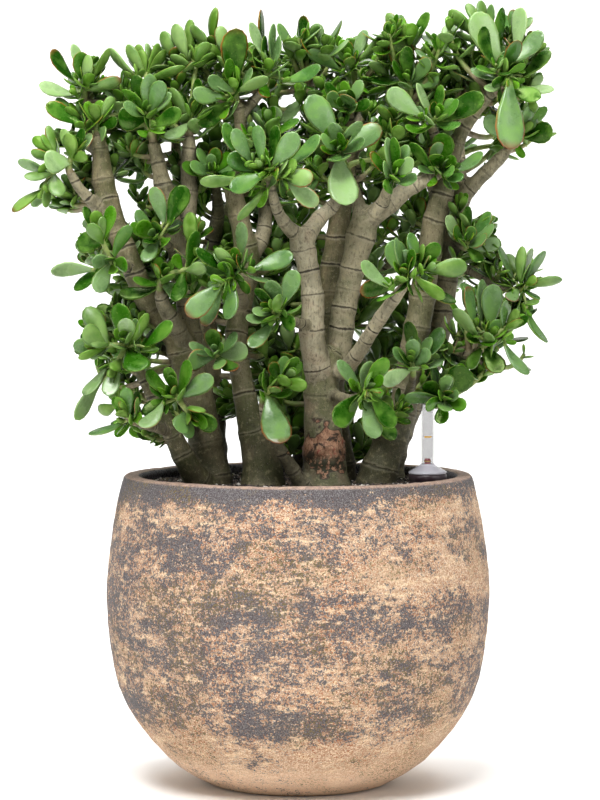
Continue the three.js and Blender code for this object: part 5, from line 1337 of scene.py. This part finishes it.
# young side shoots that fill the crown between the large sprays, in clouds:
# (across, down, depth, and how far either way; the number of shoots; the length of their leaves)
sideShoots = {
    "crown_left": [
        (165, 118, 30, 32, 26, 24, 7, 34), (108, 100, 40, 26, 24, 20, 4, 32), (206, 52, 34, 18, 14, 22, 3, 30),
        (196, 170, 40, 24, 24, 26, 6, 32), (120, 160, 30, 24, 22, 20, 4, 32), (70, 130, 16, 22, 22, 18, 4, 30),
        (170, 62, 60, 34, 22, 26, 5, 32), (66, 190, 24, 9, 10, 16, 2, 30), (82, 182, 34, 8, 8, 14, 1, 30),
        (202, 208, 50, 6, 8, 16, 2, 30), (212, 140, 70, 8, 8, 16, 2, 34), (174, 48, 40, 8, 8, 16, 1, 30),
        (92, 64, 20, 8, 6, 14, 2, 28), (84, 168, 30, 8, 8, 12, 2, 28), (142, 194, 50, 8, 5, 14, 2, 28),
        (150, 214, 50, 7, 7, 12, 2, 28), (228, 232, 80, 6, 8, 12, 2, 30),
    ],
    "crown_middle": [
        (258, 150, 24, 30, 34, 30, 8, 33), (312, 52, 60, 26, 18, 22, 5, 32), (330, 110, 40, 28, 24, 30, 6, 32),
        (292, 110, 60, 26, 26, 28, 5, 32), (238, 70, 40, 26, 26, 26, 4, 32), (380, 90, 60, 36, 28, 26, 8, 33),
        (300, 176, 20, 26, 18, 20, 3, 30), (270, 250, 60, 12, 16, 20, 3, 34), (227, 252, 60, 8, 8, 16, 2, 32),
        (310, 152, 60, 8, 8, 16, 2, 30), (386, 32, 40, 12, 8, 16, 3, 28), (374, 256, 92, 8, 8, 12, 2, 30),
        (306, 128, 70, 8, 8, 12, 2, 30), (326, 168, 84, 8, 8, 12, 2, 30), (320, 250, 120, 6, 10, 12, 2, 30),
        (294, 216, 72, 8, 8, 10, 2, 30), (370, 170, 84, 8, 12, 12, 2, 30),
    ],
    "crown_right": [
        (398, 138, 26, 32, 28, 24, 6, 32), (430, 90, 60, 24, 28, 30, 5, 32), (472, 70, 50, 26, 30, 24, 6, 32),
        (516, 90, 36, 24, 28, 20, 5, 32), (450, 160, 70, 26, 28, 26, 4, 32), (446, 40, 30, 22, 20, 20, 4, 30),
        (520, 130, 60, 22, 24, 20, 3, 30), (526, 52, 34, 8, 8, 16, 2, 32), (420, 206, 80, 9, 9, 16, 2, 32),
        (490, 112, 60, 8, 10, 12, 2, 30), (396, 226, 92, 12, 10, 12, 3, 30), (508, 34, 30, 6, 12, 12, 1, 30),
    ],
    "middle_left": [
        (108, 240, 26, 28, 30, 24, 5, 32), (146, 262, 30, 26, 30, 24, 5, 32), (124, 340, 0, 34, 34, 24, 7, 32),
        (112, 388, -14, 28, 26, 20, 5, 30), (206, 300, -26, 26, 30, 16, 5, 30), (186, 236, 30, 22, 24, 22, 3, 30),
        (118, 300, 30, 9, 8, 16, 2, 30), (92, 326, 0, 8, 9, 14, 1, 28), (292, 340, 84, 8, 8, 12, 2, 30),
        (156, 431, -14, 6, 4, 12, 1, 24), (144, 436, -22, 9, 5, 12, 2, 22), (176, 408, 10, 6, 6, 12, 2, 26),
        (296, 304, 90, 6, 10, 12, 2, 30), (290, 442, 90, 8, 6, 12, 1, 28), (284, 430, 96, 14, 16, 26, 5, 36),
        (276, 366, 80, 22, 24, 26, 7, 36), (256, 336, 60, 10, 12, 20, 3, 34), (232, 396, 66, 8, 16, 20, 3, 34),
        (298, 380, 110, 10, 12, 20, 2, 34), (262, 300, 70, 18, 18, 20, 4, 34),
    ],
    "middle_right": [
        (470, 226, 30, 26, 28, 24, 5, 30), (500, 270, 30, 30, 28, 22, 5, 30), (474, 330, 10, 30, 34, 24, 6, 30),
        (440, 372, 20, 26, 30, 26, 5, 30), (420, 300, 20, 22, 26, 26, 3, 30), (394, 400, -20, 24, 24, 20, 4, 28),
        (362, 436, 110, 10, 10, 20, 3, 34), (518, 358, 10, 12, 16, 18, 3, 32), (514, 312, 30, 12, 10, 18, 2, 32),
        (364, 376, 120, 10, 12, 20, 3, 34), (490, 366, 10, 9, 8, 16, 1, 30), (362, 310, 100, 8, 10, 12, 2, 30),
        (358, 450, 134, 10, 7, 14, 3, 30), (300, 400, 110, 8, 10, 12, 2, 30),
    ],
    "back": [
        (500, 150, 120, 30, 40, 30, 7, 34), (440, 110, 130, 36, 34, 26, 7, 34), (80, 200, 100, 30, 40, 26, 7, 34),
        (120, 120, 110, 40, 36, 30, 8, 34), (200, 90, 130, 40, 34, 30, 8, 34), (280, 70, 140, 40, 36, 24, 7, 34),
        (360, 70, 140, 40, 34, 24, 7, 34), (250, 190, 140, 44, 40, 26, 6, 34), (380, 210, 140, 44, 44, 26, 6, 34),
        (460, 250, 110, 34, 44, 26, 6, 34), (150, 290, 130, 40, 44, 26, 7, 34), (250, 300, 150, 40, 40, 20, 4, 34),
        (400, 330, 140, 36, 40, 22, 5, 34), (300, 250, 150, 34, 44, 20, 4, 34), (270, 376, 150, 30, 40, 16, 4, 34),
        (386, 370, 150, 16, 26, 16, 3, 34), (280, 278, 120, 14, 10, 12, 2, 32),
    ],
}
sideShootShape = {"apart": 17, "tries": 110, "longest": 74, "pairs": 4, "fewest": 3, "heart": (298, 330, 20),
                  "radius": 2.3, "end": 1.9, "more": 1.8, "size": 0.92, "bareMost": 34}
rootCosts = {"below": 14, "tried": 40, "climb": 10, "drop": 2.2, "trunk": 30, "thick": 15}
lowerLeaves = {"pairs": 2, "firstLean": 0.8, "leanStep": 0.3, "firstSize": 0.8, "gap": 5}
clearWindows = [  # where the bare forks show, in front of this depth
    (284, 215, 408, 400, 70), (228, 235, 272, 500, 40), (150, 290, 230, 330, 30), (400, 185, 452, 330, 60),
    (180, 440, 420, 520, 130),
]


def inWindow(across, down, depth):
    return any(x0 < across < x1 and y0 < down < y1 and depth < limit for x0, y0, x1, y1, limit in clearWindows)


def growsFrom(tip, axis):
    # the limb point that a side shoot comes from: near, below the tip, and not on a thick trunk
    best = None
    for q, index, away in woodMap.find_n(tip - axis * rootCosts["below"], rootCosts["tried"]):
        climb, radius = tip.z - rootCosts["climb"] - q.z, woodSamples[index][1]
        cost = away + (0 if climb > 0 else -rootCosts["drop"] * climb)
        cost += rootCosts["trunk"] if radius > rootCosts["thick"] else 0
        if best is None or cost < best[0]:
            best = (cost, q, radius, away)
    return best[1:]


def makeSideShoots(name, clouds, draw, heads):
    bed = newBed()
    made = 0
    heart = place(*sideShootShape["heart"])
    for across, down, depth, wide, high, deep, count, size in clouds:
        apart = min(sideShootShape["apart"], 0.6 * wide + 4)
        left = round(count * sideShootShape["more"])
        for attempt in range(sideShootShape["tries"]):
            if left == 0:
                break
            a, d, z = (draw.uniform(-1, 1) for _ in range(3))
            if a * a + d * d + z * z > 1:
                continue
            spot = (across + wide * a, down + high * d, depth + deep * z)
            tip = place(*spot)
            if isOpen(tip) or inWindow(*spot) or any((tip - head).length < apart for head in heads):
                continue
            outward = (tip - heart).normalized()
            lean = Vector((draw.uniform(-1, 1), draw.uniform(-1, 1), draw.uniform(-0.4, 1))) * 0.35
            forward = Vector((0, -0.3 if spot[2] < 50 else 0.2, 0))
            axis = (outward * 0.55 + Vector((0, 0, 0.75)) + forward + lean).normalized()
            root, radius, away = growsFrom(tip, axis)
            if away > sideShootShape["longest"] or not isFree([tip, tip + axis * 8], 5):
                continue
            if crossedPairs(bed, tip, axis, draw, sideShootShape["pairs"],
                            size * sideShootShape["size"] * draw.uniform(0.85, 1.2), draw.uniform(0.15, 0.35),
                            draw.uniform(0.24, 0.38), 0.5, draw.uniform(3.4, 5.6)) < sideShootShape["fewest"]:
                continue
            knee = tip - axis * min(0.55 * away, 40)
            shares = [j / 7 for j in range(8)]
            thick = min(radius * 0.8, sideShootShape["radius"] + away / 60)
            addShoot(bed, [bezier(root, knee, tip, s) for s in shares],
                     [thick + (sideShootShape["end"] - thick) * s for s in shares],
                     [max(1 - 1.3 * s, 0) for s in shares])
            if away > sideShootShape["bareMost"]:
                crossedPairs(bed, bezier(root, knee, tip, 0.62), (tip - knee).normalized(), draw, size=size * 0.8,
                             **lowerLeaves)
            heads.append(tip)
            left -= 1
            made += 1
    makeFoliage("side_shoots_" + name, bed, forms=plainForms if name == "back" else leafForms)
    return made


heads = [shoot["tip"] for bed, grown in beds for shoot in grown]
madeShoots = {name: makeSideShoots(name, clouds, random.Random(300 + k), heads)
              for k, (name, clouds) in enumerate(sideShoots.items())}
print("side shoots made:", madeShoots)

pot = {
    "height": 310, "rim": 175, "wall": 18, "floor": 20, "lip": 5.2, "wallEnds": 6.5,
    "foot": [(0, 0), (60, 0), (84, 0), (87, 0.8)],
    "outside": [(88, 0), (134, 31), (177, 92), (191.5, 180), (186, 252), (175, 307)],
    "inside": [(80, 20), (120, 42), (160, 98), (173.5, 180), (168, 252), (157, 307)],
    "around": 220, "outsideRows": 84, "insideRows": 30, "wobble": 0.7, "waves": 0.3, "pits": 0.45,
    # from, to (m), and how much more charcoal there
    "bands": [(0.265, 0.292, -0.06), (0.232, 0.262, 0.05), (0.205, 0.236, -0.09), (0.16, 0.207, 0.06),
              (0.115, 0.15, -0.04), (0.06, 0.12, 0.05)],
}


def splineRows(points, rows):
    # the same smooth curve as the pot's wall is turned from
    knots = [Vector((r, z, 0)) for r, z in points]
    made = []
    for k in range(rows + 1):
        t = k / rows * (len(knots) - 1)
        i = min(int(t), len(knots) - 2)
        a, b, c, d = (knots[max(min(j, len(knots) - 1), 0)] for j in (i - 1, i, i + 1, i + 2))
        p = smoothSpan(b, c, (c - a) / 2, (d - b) / 2, t - i)
        made.append((p.x, p.y))
    return made


def turnedMesh(name, profile, around, centre=(0, 0), closed=False):
    # a piece turned from (radius, height) pairs; a radius of 0 closes it with a fan
    points, faces, rows = [], [], []
    for r, z in profile:
        first, count = len(points), 1 if r == 0 else around
        points += [(centre[0] + r * math.cos(math.tau * k / around),
                    centre[1] + r * math.sin(math.tau * k / around), z) for k in range(count)]
        rows.append([first + k % count for k in range(around)])
    for low, high in list(zip(rows, rows[1:])) + ([(rows[-1], rows[0])] if closed else []):
        for k in range(around):
            n = (k + 1) % around
            face = list(dict.fromkeys((low[k], low[n], high[n], high[k])))
            if len(face) > 2:
                faces.append(face)
    piece = newPiece(name, [(x * mm, y * mm, z * mm) for x, y, z in points], faces)
    shadeSmooth(piece)
    return piece


def roundedCorner(x, z, radius, start, steps=5):
    turns = [math.radians(start + 90 * k / steps) for k in range(steps + 1)]
    return [(x + radius * math.cos(turn), z + radius * math.sin(turn)) for turn in turns]


def makePotMaterial():
    material, t, shader, place = newMaterial("speckledStoneware")
    x, y, z = t.split(place)
    drift = t.noise(t.stretched(place, (-1, 1, 1.9)), 11, 4, 0.6, 0.2)
    patch = t.noise(t.stretched(place, (-1, 1, 1.25)), 38, 5, 0.72, 0.3)
    scraps = t.noise(t.stretched(place, (1, 1, 1.4)), 140, 4, 0.8)
    brush = t.noise(t.stretched(place, (1, 1, 4)), 55, 5, 0.7, 0.4)
    bands = t.noise(t.stretched(place, (0.8, 0.8, 26)), 1, 3, 0.5)
    grain = t.noise(place, 420, 3, 0.8)
    dust = t.noise(place, 900, 2, 0.6)
    ochre = t.times(t.between(t.noise(place, 520, 2, 0.7), 0.5, 0.6),
                    t.between(t.noise(place, 16, 3), 0.38, 0.62, 0.25, 0.95))
    clay = t.coats(
        t.mix(t.between(grain, 0.42, 0.58), srgb(168, 128, 98), srgb(222, 194, 164)),
        (t.between(scraps, 0.5, 0.66, 0, 0.6), (208, 186, 154)),
        (t.between(brush, 0.52, 0.64, 0, 0.6), (240, 214, 174)),
        (ochre, (160, 98, 62)),
        (t.between(dust, 0.57, 0.64, 0, 0.8), (246, 226, 198)))
    # painted light: the clay is made paler towards the foot, where the pot curves in under itself and would be in its
    # own shade
    foot = t.mix(grain, srgb(236, 186, 148), srgb(255, 236, 208))
    clay = t.mix(t.between(z, 0.05, 0.004, 0, 0.85), clay, foot)
    # how much charcoal: more at the lip, less at the foot, and by bands; less on the right too, which is partly the
    # glaze's own spread and partly painted light that brightens that side
    amount = t.total(
        (patch, 0.95), (drift, 0.85), (bands, 0.5), (scraps, 1.15), (grain, 1.7), (brush, -0.5),
        t.between(x, -0.06, 0.16, 0.04, -0.07), t.between(z, 0.02, 0.1, -0.3, 0),
        t.between(z, 0.284, 0.306, 0, 0.36))
    wavy = t.total(z, (t.maths("SUBTRACT", t.noise(place, 9, 2), 0.5), 0.05))
    for low, high, more in pot["bands"]:
        middle, half = (low + high) / 2, (high - low) / 2
        off = t.maths("ABSOLUTE", t.maths("SUBTRACT", wavy, middle))
        amount = t.total(amount, t.between(off, half, 0.3 * half, 0, more))
    charcoal = t.mix(t.between(dust, 0.4, 0.64), srgb(36, 40, 50), srgb(102, 102, 108))
    olive = t.between(t.noise(t.stretched(place, (1, 1, 1.4)), 13, 3, 0.5, 0.2), 0.5, 0.62)
    speck = t.between(t.noise(place, 420, 2, 0.6), 0.52, 0.6)
    pepper = t.between(t.noise(place, 620, 2, 0.7), 0.62, 0.7)
    base = t.coats(
        t.mix(t.between(amount, 2.28, 2.37, 0, 0.92), clay, charcoal),
        (t.times(olive, speck, 0.75), (112, 94, 48)),
        (t.times(pepper, t.between(z, 0.0, 0.2, 0.45, 0.8)), (84, 74, 66)))
    lip = t.mix(t.between(scraps, 0.4, 0.6), srgb(150, 124, 108), srgb(186, 156, 136))
    base = t.mix(t.times(t.between(z, 0.3074, 0.3092), t.between(grain, 0.42, 0.5, 0.35, 0.9)), base, lip)
    radius = t.maths("SQRT", t.total((x, x), (y, y)))
    inner = t.times(t.between(radius, 0.1605, 0.1585), t.between(z, 0.2, 0.22), 0.92)
    lining = t.mix(t.between(grain, 0.42, 0.56), srgb(44, 42, 46), srgb(104, 102, 108))
    t.link(t.mix(inner, base, lining), shader.inputs["Base Color"])
    t.link(t.between(amount, 2.2, 2.4, 0.92, 0.78), shader.inputs["Roughness"])
    addBump(t, shader, t.total((grain, 0.8), (dust, 0.4), (scraps, 0.5)), 0.65, 0.0016)
    return material


def makePot():
    outside, inside = ([p for p in splineRows(pot[side], pot[side + "Rows"]) if p[1] < pot["height"] - pot["wallEnds"]]
                       for side in ("outside", "inside"))
    lip, mouth = pot["lip"], pot["rim"] - pot["wall"]
    profile = pot["foot"] + [p for p in outside if p[1] > 2]
    profile += roundedCorner(pot["rim"] - lip, pot["height"] - lip, lip, 0)
    profile += roundedCorner(mouth + lip, pot["height"] - lip, lip, 90)
    profile += inside[::-1] + [(40, pot["floor"]), (0, pot["floor"])]
    piece = turnedMesh("pot_body", profile, pot["around"])
    at = readPoints(piece.data) / mm
    still = ease(0, 6, at[:, 2])[:, None]
    rise = pot["wobble"] * roughnessAt(at, 60, 11) + pot["pits"] * roughnessAt(at, 7, 12)
    rise += pot["waves"] * roughnessAt(at * (1, 1, 3), 22, 13)
    writePoints(piece.data, (at + readNormals(piece.data) * rise[:, None] * still) * mm)
    piece.data.materials.append(makePotMaterial())
    finish(piece, "pot")


makePot()
print("pot made")

grit = {
    "top": 299, "around": 128, "rows": 44, "lumps": 1.3, "grain": 1.7, "apart": 0.0031, "density": 70000,
    "seed": 6, "least": 0.0012, "most": 0.0027,
}


def makeGritMaterial(name, loose):
    material, t, shader, place = newMaterial(name)
    fine = t.noise(place, 600, 3)
    if loose:
        kind = t.painted("kind", "Fac")
        base = t.mix(t.between(kind, 0.2, 0.5), srgb(38, 34, 32), srgb(78, 70, 66))
        base = t.coats(base, (t.between(kind, 0.62, 0.7), (112, 96, 84)),
                       (t.between(kind, 0.84, 0.88), (206, 200, 190)))
    else:
        cells = t.add("ShaderNodeTexVoronoi", {"Vector": place, "Scale": 260}).outputs["Color"]
        base = t.mix(t.split(cells)[0], srgb(30, 27, 25), srgb(70, 62, 58))
    base = t.coats(base, (t.between(fine, 0.5, 0.75, 0, 0.3), (150, 140, 130)))
    t.link(base, shader.inputs["Base Color"])
    shader.inputs["Roughness"].default_value = 0.9
    addBump(t, shader, fine, 0.6, 0.0008)
    return material


def makeGrainTree():
    t, given, out = newGeometryTree("grainTree", {
        "Distance": "Float", "Density": "Float", "Seed": "Int", "Least": "Float", "Most": "Float",
        "Material": "Material"})
    spread = t.add("GeometryNodeDistributePointsOnFaces", {
        "Mesh": given["Geometry"], "Selection": t.named("top"), "Distance Min": given["Distance"],
        "Density Max": given["Density"], "Seed": given["Seed"]}, distribute_method="POISSON")

    def chance(low, high, seed):
        node = t.add("FunctionNodeRandomValue", {2: low, 3: high, "Seed": seed}, data_type="FLOAT")
        return node.outputs[1]

    def chances(low, high, seed):
        node = t.add("FunctionNodeRandomValue", {0: low, 1: high, "Seed": seed}, data_type="FLOAT_VECTOR")
        return node.outputs[0]

    marked = t.add("GeometryNodeStoreNamedAttribute", {
        "Geometry": spread.outputs[0], "Name": "kind", "Value": chance(0.0, 1.0, 3)}, data_type="FLOAT").outputs[0]
    ball = t.add("GeometryNodeMeshIcoSphere", {"Radius": 1.0, "Subdivisions": 1}).outputs[0]
    turn = t.add("FunctionNodeEulerToRotation", {"Euler": chances((0, 0, 0), (6.28, 6.28, 6.28), 4)}).outputs[0]
    squash = chances((0.8, 0.6, 0.55), (1.2, 1.0, 0.95), 8)
    scale = t.add("ShaderNodeVectorMath", {0: squash, "Scale": chance(given["Least"], given["Most"], 5)},
                  operation="SCALE").outputs[0]
    grains = t.add("GeometryNodeInstanceOnPoints", {"Points": marked, "Instance": ball, "Rotation": turn,
                                                    "Scale": scale}).outputs[0]
    t.link(t.skinned(t.realized(grains), given["Material"]), out.inputs[0])
    return t


def makeGrit():
    inside = [(r - 0.4, z) for r, z in splineRows(pot["inside"], 24) if z < grit["top"] - 2]
    edge = inside[-1][0]
    wall = [(0, pot["floor"] + 0.4), (inside[0][0], pot["floor"] + 0.4)] + inside[1:]
    top = [(edge * (1 - k / grit["rows"]), grit["top"]) for k in range(grit["rows"])]
    piece = turnedMesh("grit_bed", wall + top + [(0, grit["top"])], grit["around"])
    at = readPoints(piece.data) / mm
    onTop = at[:, 2] > grit["top"] - 0.01
    inner = ease(edge, edge - 8, np.hypot(at[:, 0], at[:, 1])) * onTop
    at[:, 2] += inner * (grit["lumps"] * roughnessAt(at, 24, 21) + grit["grain"] * roughnessAt(at, 6, 22))
    writePoints(piece.data, at * mm)
    piece.data.materials.append(makeGritMaterial("gritBed", False))
    finish(piece, "soil")

    grains = newPiece("grit_grains", [], [])
    grains.data = piece.data.copy()
    setAttribute(grains.data, "top", "FLOAT", onTop.astype(float))
    runTree(grains, makeGrainTree(), {
        "Distance": grit["apart"], "Density": float(grit["density"]), "Seed": grit["seed"],
        "Least": grit["least"], "Most": grit["most"], "Material": makeGritMaterial("looseGrit", True)})
    bake(grains)
    finish(grains)
    return grains


grains = makeGrit()
print("grit made:", len(grains.data.polygons), "faces of grains")

gauge = {
    "centre": (128, -40), "around": 64, "bottom": 239, "top": 388, "bore": 5.4,
    "foot": 19, "footTop": 313, "shoulder": 9, "tube": 6.75, "tubeRows": (326, 384, 6), "crown": 4,
    "float": 3.1, "head": 328.4, "floatAround": 40,
    "band": (324.9, 326.1), "mark": (349.3, 350.6), "markTurns": (-120, -60, 5),
    "frostEnds": 0.3235,  # m; the clear tube is milky under this height
}


def makePlastic(name, colour, roughness, wear, clear=False):
    material, t, shader, place = newMaterial(name)
    smudge = t.noise(place, 90, 3)
    light = tuple(min(c + wear, 1) for c in colour[:3]) + (1,)
    shade = t.mix(t.between(smudge, 0.4, 0.65), colour, light)
    if clear:
        height, top = t.split(place)[2], gauge["frostEnds"]
        shade = t.coats(shade, (t.between(height, top, top - mm), (188, 186, 195)))
        t.link(t.between(height, top, top - mm, 0.25, 0.7), shader.inputs["Alpha"])
    t.link(shade, shader.inputs["Base Color"])
    t.link(t.between(smudge, 0.35, 0.65, roughness, roughness + 0.08), shader.inputs["Roughness"])
    addBump(t, shader, t.noise(place, 700, 2), 0.08, 0.0004)
    return material


def makeGauge():
    g = gauge
    bore, foot, footTop, tube, top, red = (g[key] for key in ("bore", "foot", "footTop", "tube", "top", "float"))
    neck = footTop + g["shoulder"]
    base = [(bore, g["bottom"]), (foot - 1, g["bottom"]), (foot - 0.4, g["bottom"] + 1), (foot - 0.4, 298),
            (foot, 299), (foot, 305), (foot - 0.8, 305.6), (foot - 0.8, 306.6), (foot, 307.2), (foot, 312),
            (foot - 0.7, footTop), (bore + 0.3, footTop), (bore, footTop - 0.4)]
    sleeve = [(bore, 313.4), (foot - 0.4, 313.4), (foot, 313.8), (foot - 0.3, 315.4), (16.4, 316.6),
              (12.6, 318.8), (9.4, 320.8), (7.6, neck), (tube, neck + 1)]
    sleeve += [(tube, z) for z in range(*g["tubeRows"])]
    sleeve += roundedCorner(tube - g["crown"], top - g["crown"], g["crown"], 0)
    sleeve += [(0, top), (0, top - 2.5), (3.2, top - 2.9), (bore, top - 6)]
    stick = [(0, g["bottom"]), (red - 0.6, g["bottom"]), (red - 0.6, 312), (red, 314), (red, g["head"] - 1),
             (red - 1, g["head"]), (0, g["head"])]
    low, high = g["band"]
    band = [(red - 0.5, low), (red + 0.25, low), (red + 0.25, high), (red - 0.5, high)]
    yellow = makePlastic("yellowPlastic", srgb(222, 164, 4), 0.4, 0.02)
    for name, profile, around, closed, plastic, slot, node in (
            ("gauge_base", base, g["around"], True, makePlastic("darkPlastic", srgb(46, 32, 38), 0.3, 0.03),
             "gauge_foot", "gauge_foot"),
            ("gauge_sleeve", sleeve, g["around"], True,
             makePlastic("clearPlastic", srgb(116, 115, 119), 0.08, 0.0, True), "gauge_tube", "gauge_tube"),
            ("gauge_stick", stick, g["floatAround"], False, makePlastic("redPlastic", srgb(168, 6, 10), 0.3, 0.02),
             "gauge_float", "gauge_float"),
            ("gauge_band", band, g["floatAround"], True, yellow, "gauge_float", None)):
        piece = turnedMesh(name, profile, around, g["centre"], closed)
        piece.data.materials.append(plastic)
        finish(piece, node)
    # a raised line across the front of the tube
    (x, y), (low, high) = g["centre"], g["mark"]
    start, end, step = g["markTurns"]
    turns = [math.radians(angle) for angle in range(start, end + 1, step)]
    points = [((x + r * math.cos(a)) * mm, (y + r * math.sin(a)) * mm, z * mm) for a in turns
              for r, z in ((tube - 0.2, low), (tube + 0.25, low), (tube + 0.25, high), (tube - 0.2, high))]
    last = len(points) - 4
    faces = [(4 * i + j, 4 * i + 4 + j, 4 * i + 4 + (j + 1) % 4, 4 * i + (j + 1) % 4)
             for i in range(len(turns) - 1) for j in range(4)]
    faces += [(0, 1, 2, 3), (last + 3, last + 2, last + 1, last)]
    mark = newPiece("gauge_mark", points, faces)
    mark.data.materials.append(yellow)
    finish(mark)


makeGauge()
print("gauge made")

studio = {
    "floor": srgb(252, 252, 251), "floorShade": srgb(244, 243, 241), "world": 0.1,
    # the floor runs back from the front, bends up and goes on as the wall (m)
    "front": -8, "back": 3.2, "bend": 2.6, "wallTop": 9.5, "half": 10, "floorRows": 8, "bendRows": 12,
    # place, aim, width, height, power
    "lamps": [((-0.4, -1.55, 2.5), (0, 0, 0.45), 1.2, 1.0, 86), ((1.9, -1.7, 1.3), (0, 0, 0.4), 0.9, 1.4, 15),
              ((-1.9, -1.9, 1.2), (0, 0, 0.35), 0.9, 1.4, 10), ((0, 1.1, 5.2), (0, 4.84, 1.24), 5.3, 2.2, 465)],
}


def makeFloor():
    front, back, bend = studio["front"], studio["back"], studio["bend"]
    line = [(front + (back - front) * k / studio["floorRows"], 0) for k in range(studio["floorRows"] + 1)]
    turns = [math.pi / 2 * k / studio["bendRows"] for k in range(1, studio["bendRows"] + 1)]
    line += [(back + bend * math.sin(a), bend - bend * math.cos(a)) for a in turns]
    line += [(back + bend, 5.4), (back + bend, studio["wallTop"])]
    points = [(x, y, z) for y, z in line for x in (-studio["half"], studio["half"])]
    faces = [(2 * k, 2 * k + 1, 2 * k + 3, 2 * k + 2) for k in range(len(line) - 1)]
    floor = newPiece("studio_floor", points, faces)
    shadeSmooth(floor)
    material, t, shader, place = newMaterial("paleFloor")
    tone = t.between(t.noise(place, 3, 2), 0.3, 0.7)
    t.link(t.mix(tone, studio["floor"], studio["floorShade"]), shader.inputs["Base Color"])
    shader.inputs["Roughness"].default_value = 0.8
    floor.data.materials.append(material)


def makeStudio():
    makeFloor()
    for k, (at, aim, width, height, power) in enumerate(studio["lamps"]):
        data = bpy.data.lights.new(f"lamp{k}", "AREA")
        data.shape = "RECTANGLE"
        data.size, data.size_y, data.energy = width, height, power
        standAt(bpy.data.objects.new(f"lamp{k}", data), at, aim)
    world = bpy.data.worlds.new("studioWorld")
    bpy.context.scene.world = world
    world.use_nodes = True
    back = world.node_tree.nodes["Background"]
    back.inputs["Color"].default_value = (1, 1, 1, 1)
    back.inputs["Strength"].default_value = studio["world"]


makeStudio()
bpy.context.scene.view_settings.view_transform = "Standard"
for forms in (leafForms, plainForms):
    for leaf in list(forms.objects):
        bpy.data.objects.remove(leaf)
    bpy.data.collections.remove(forms)
print("studio made")
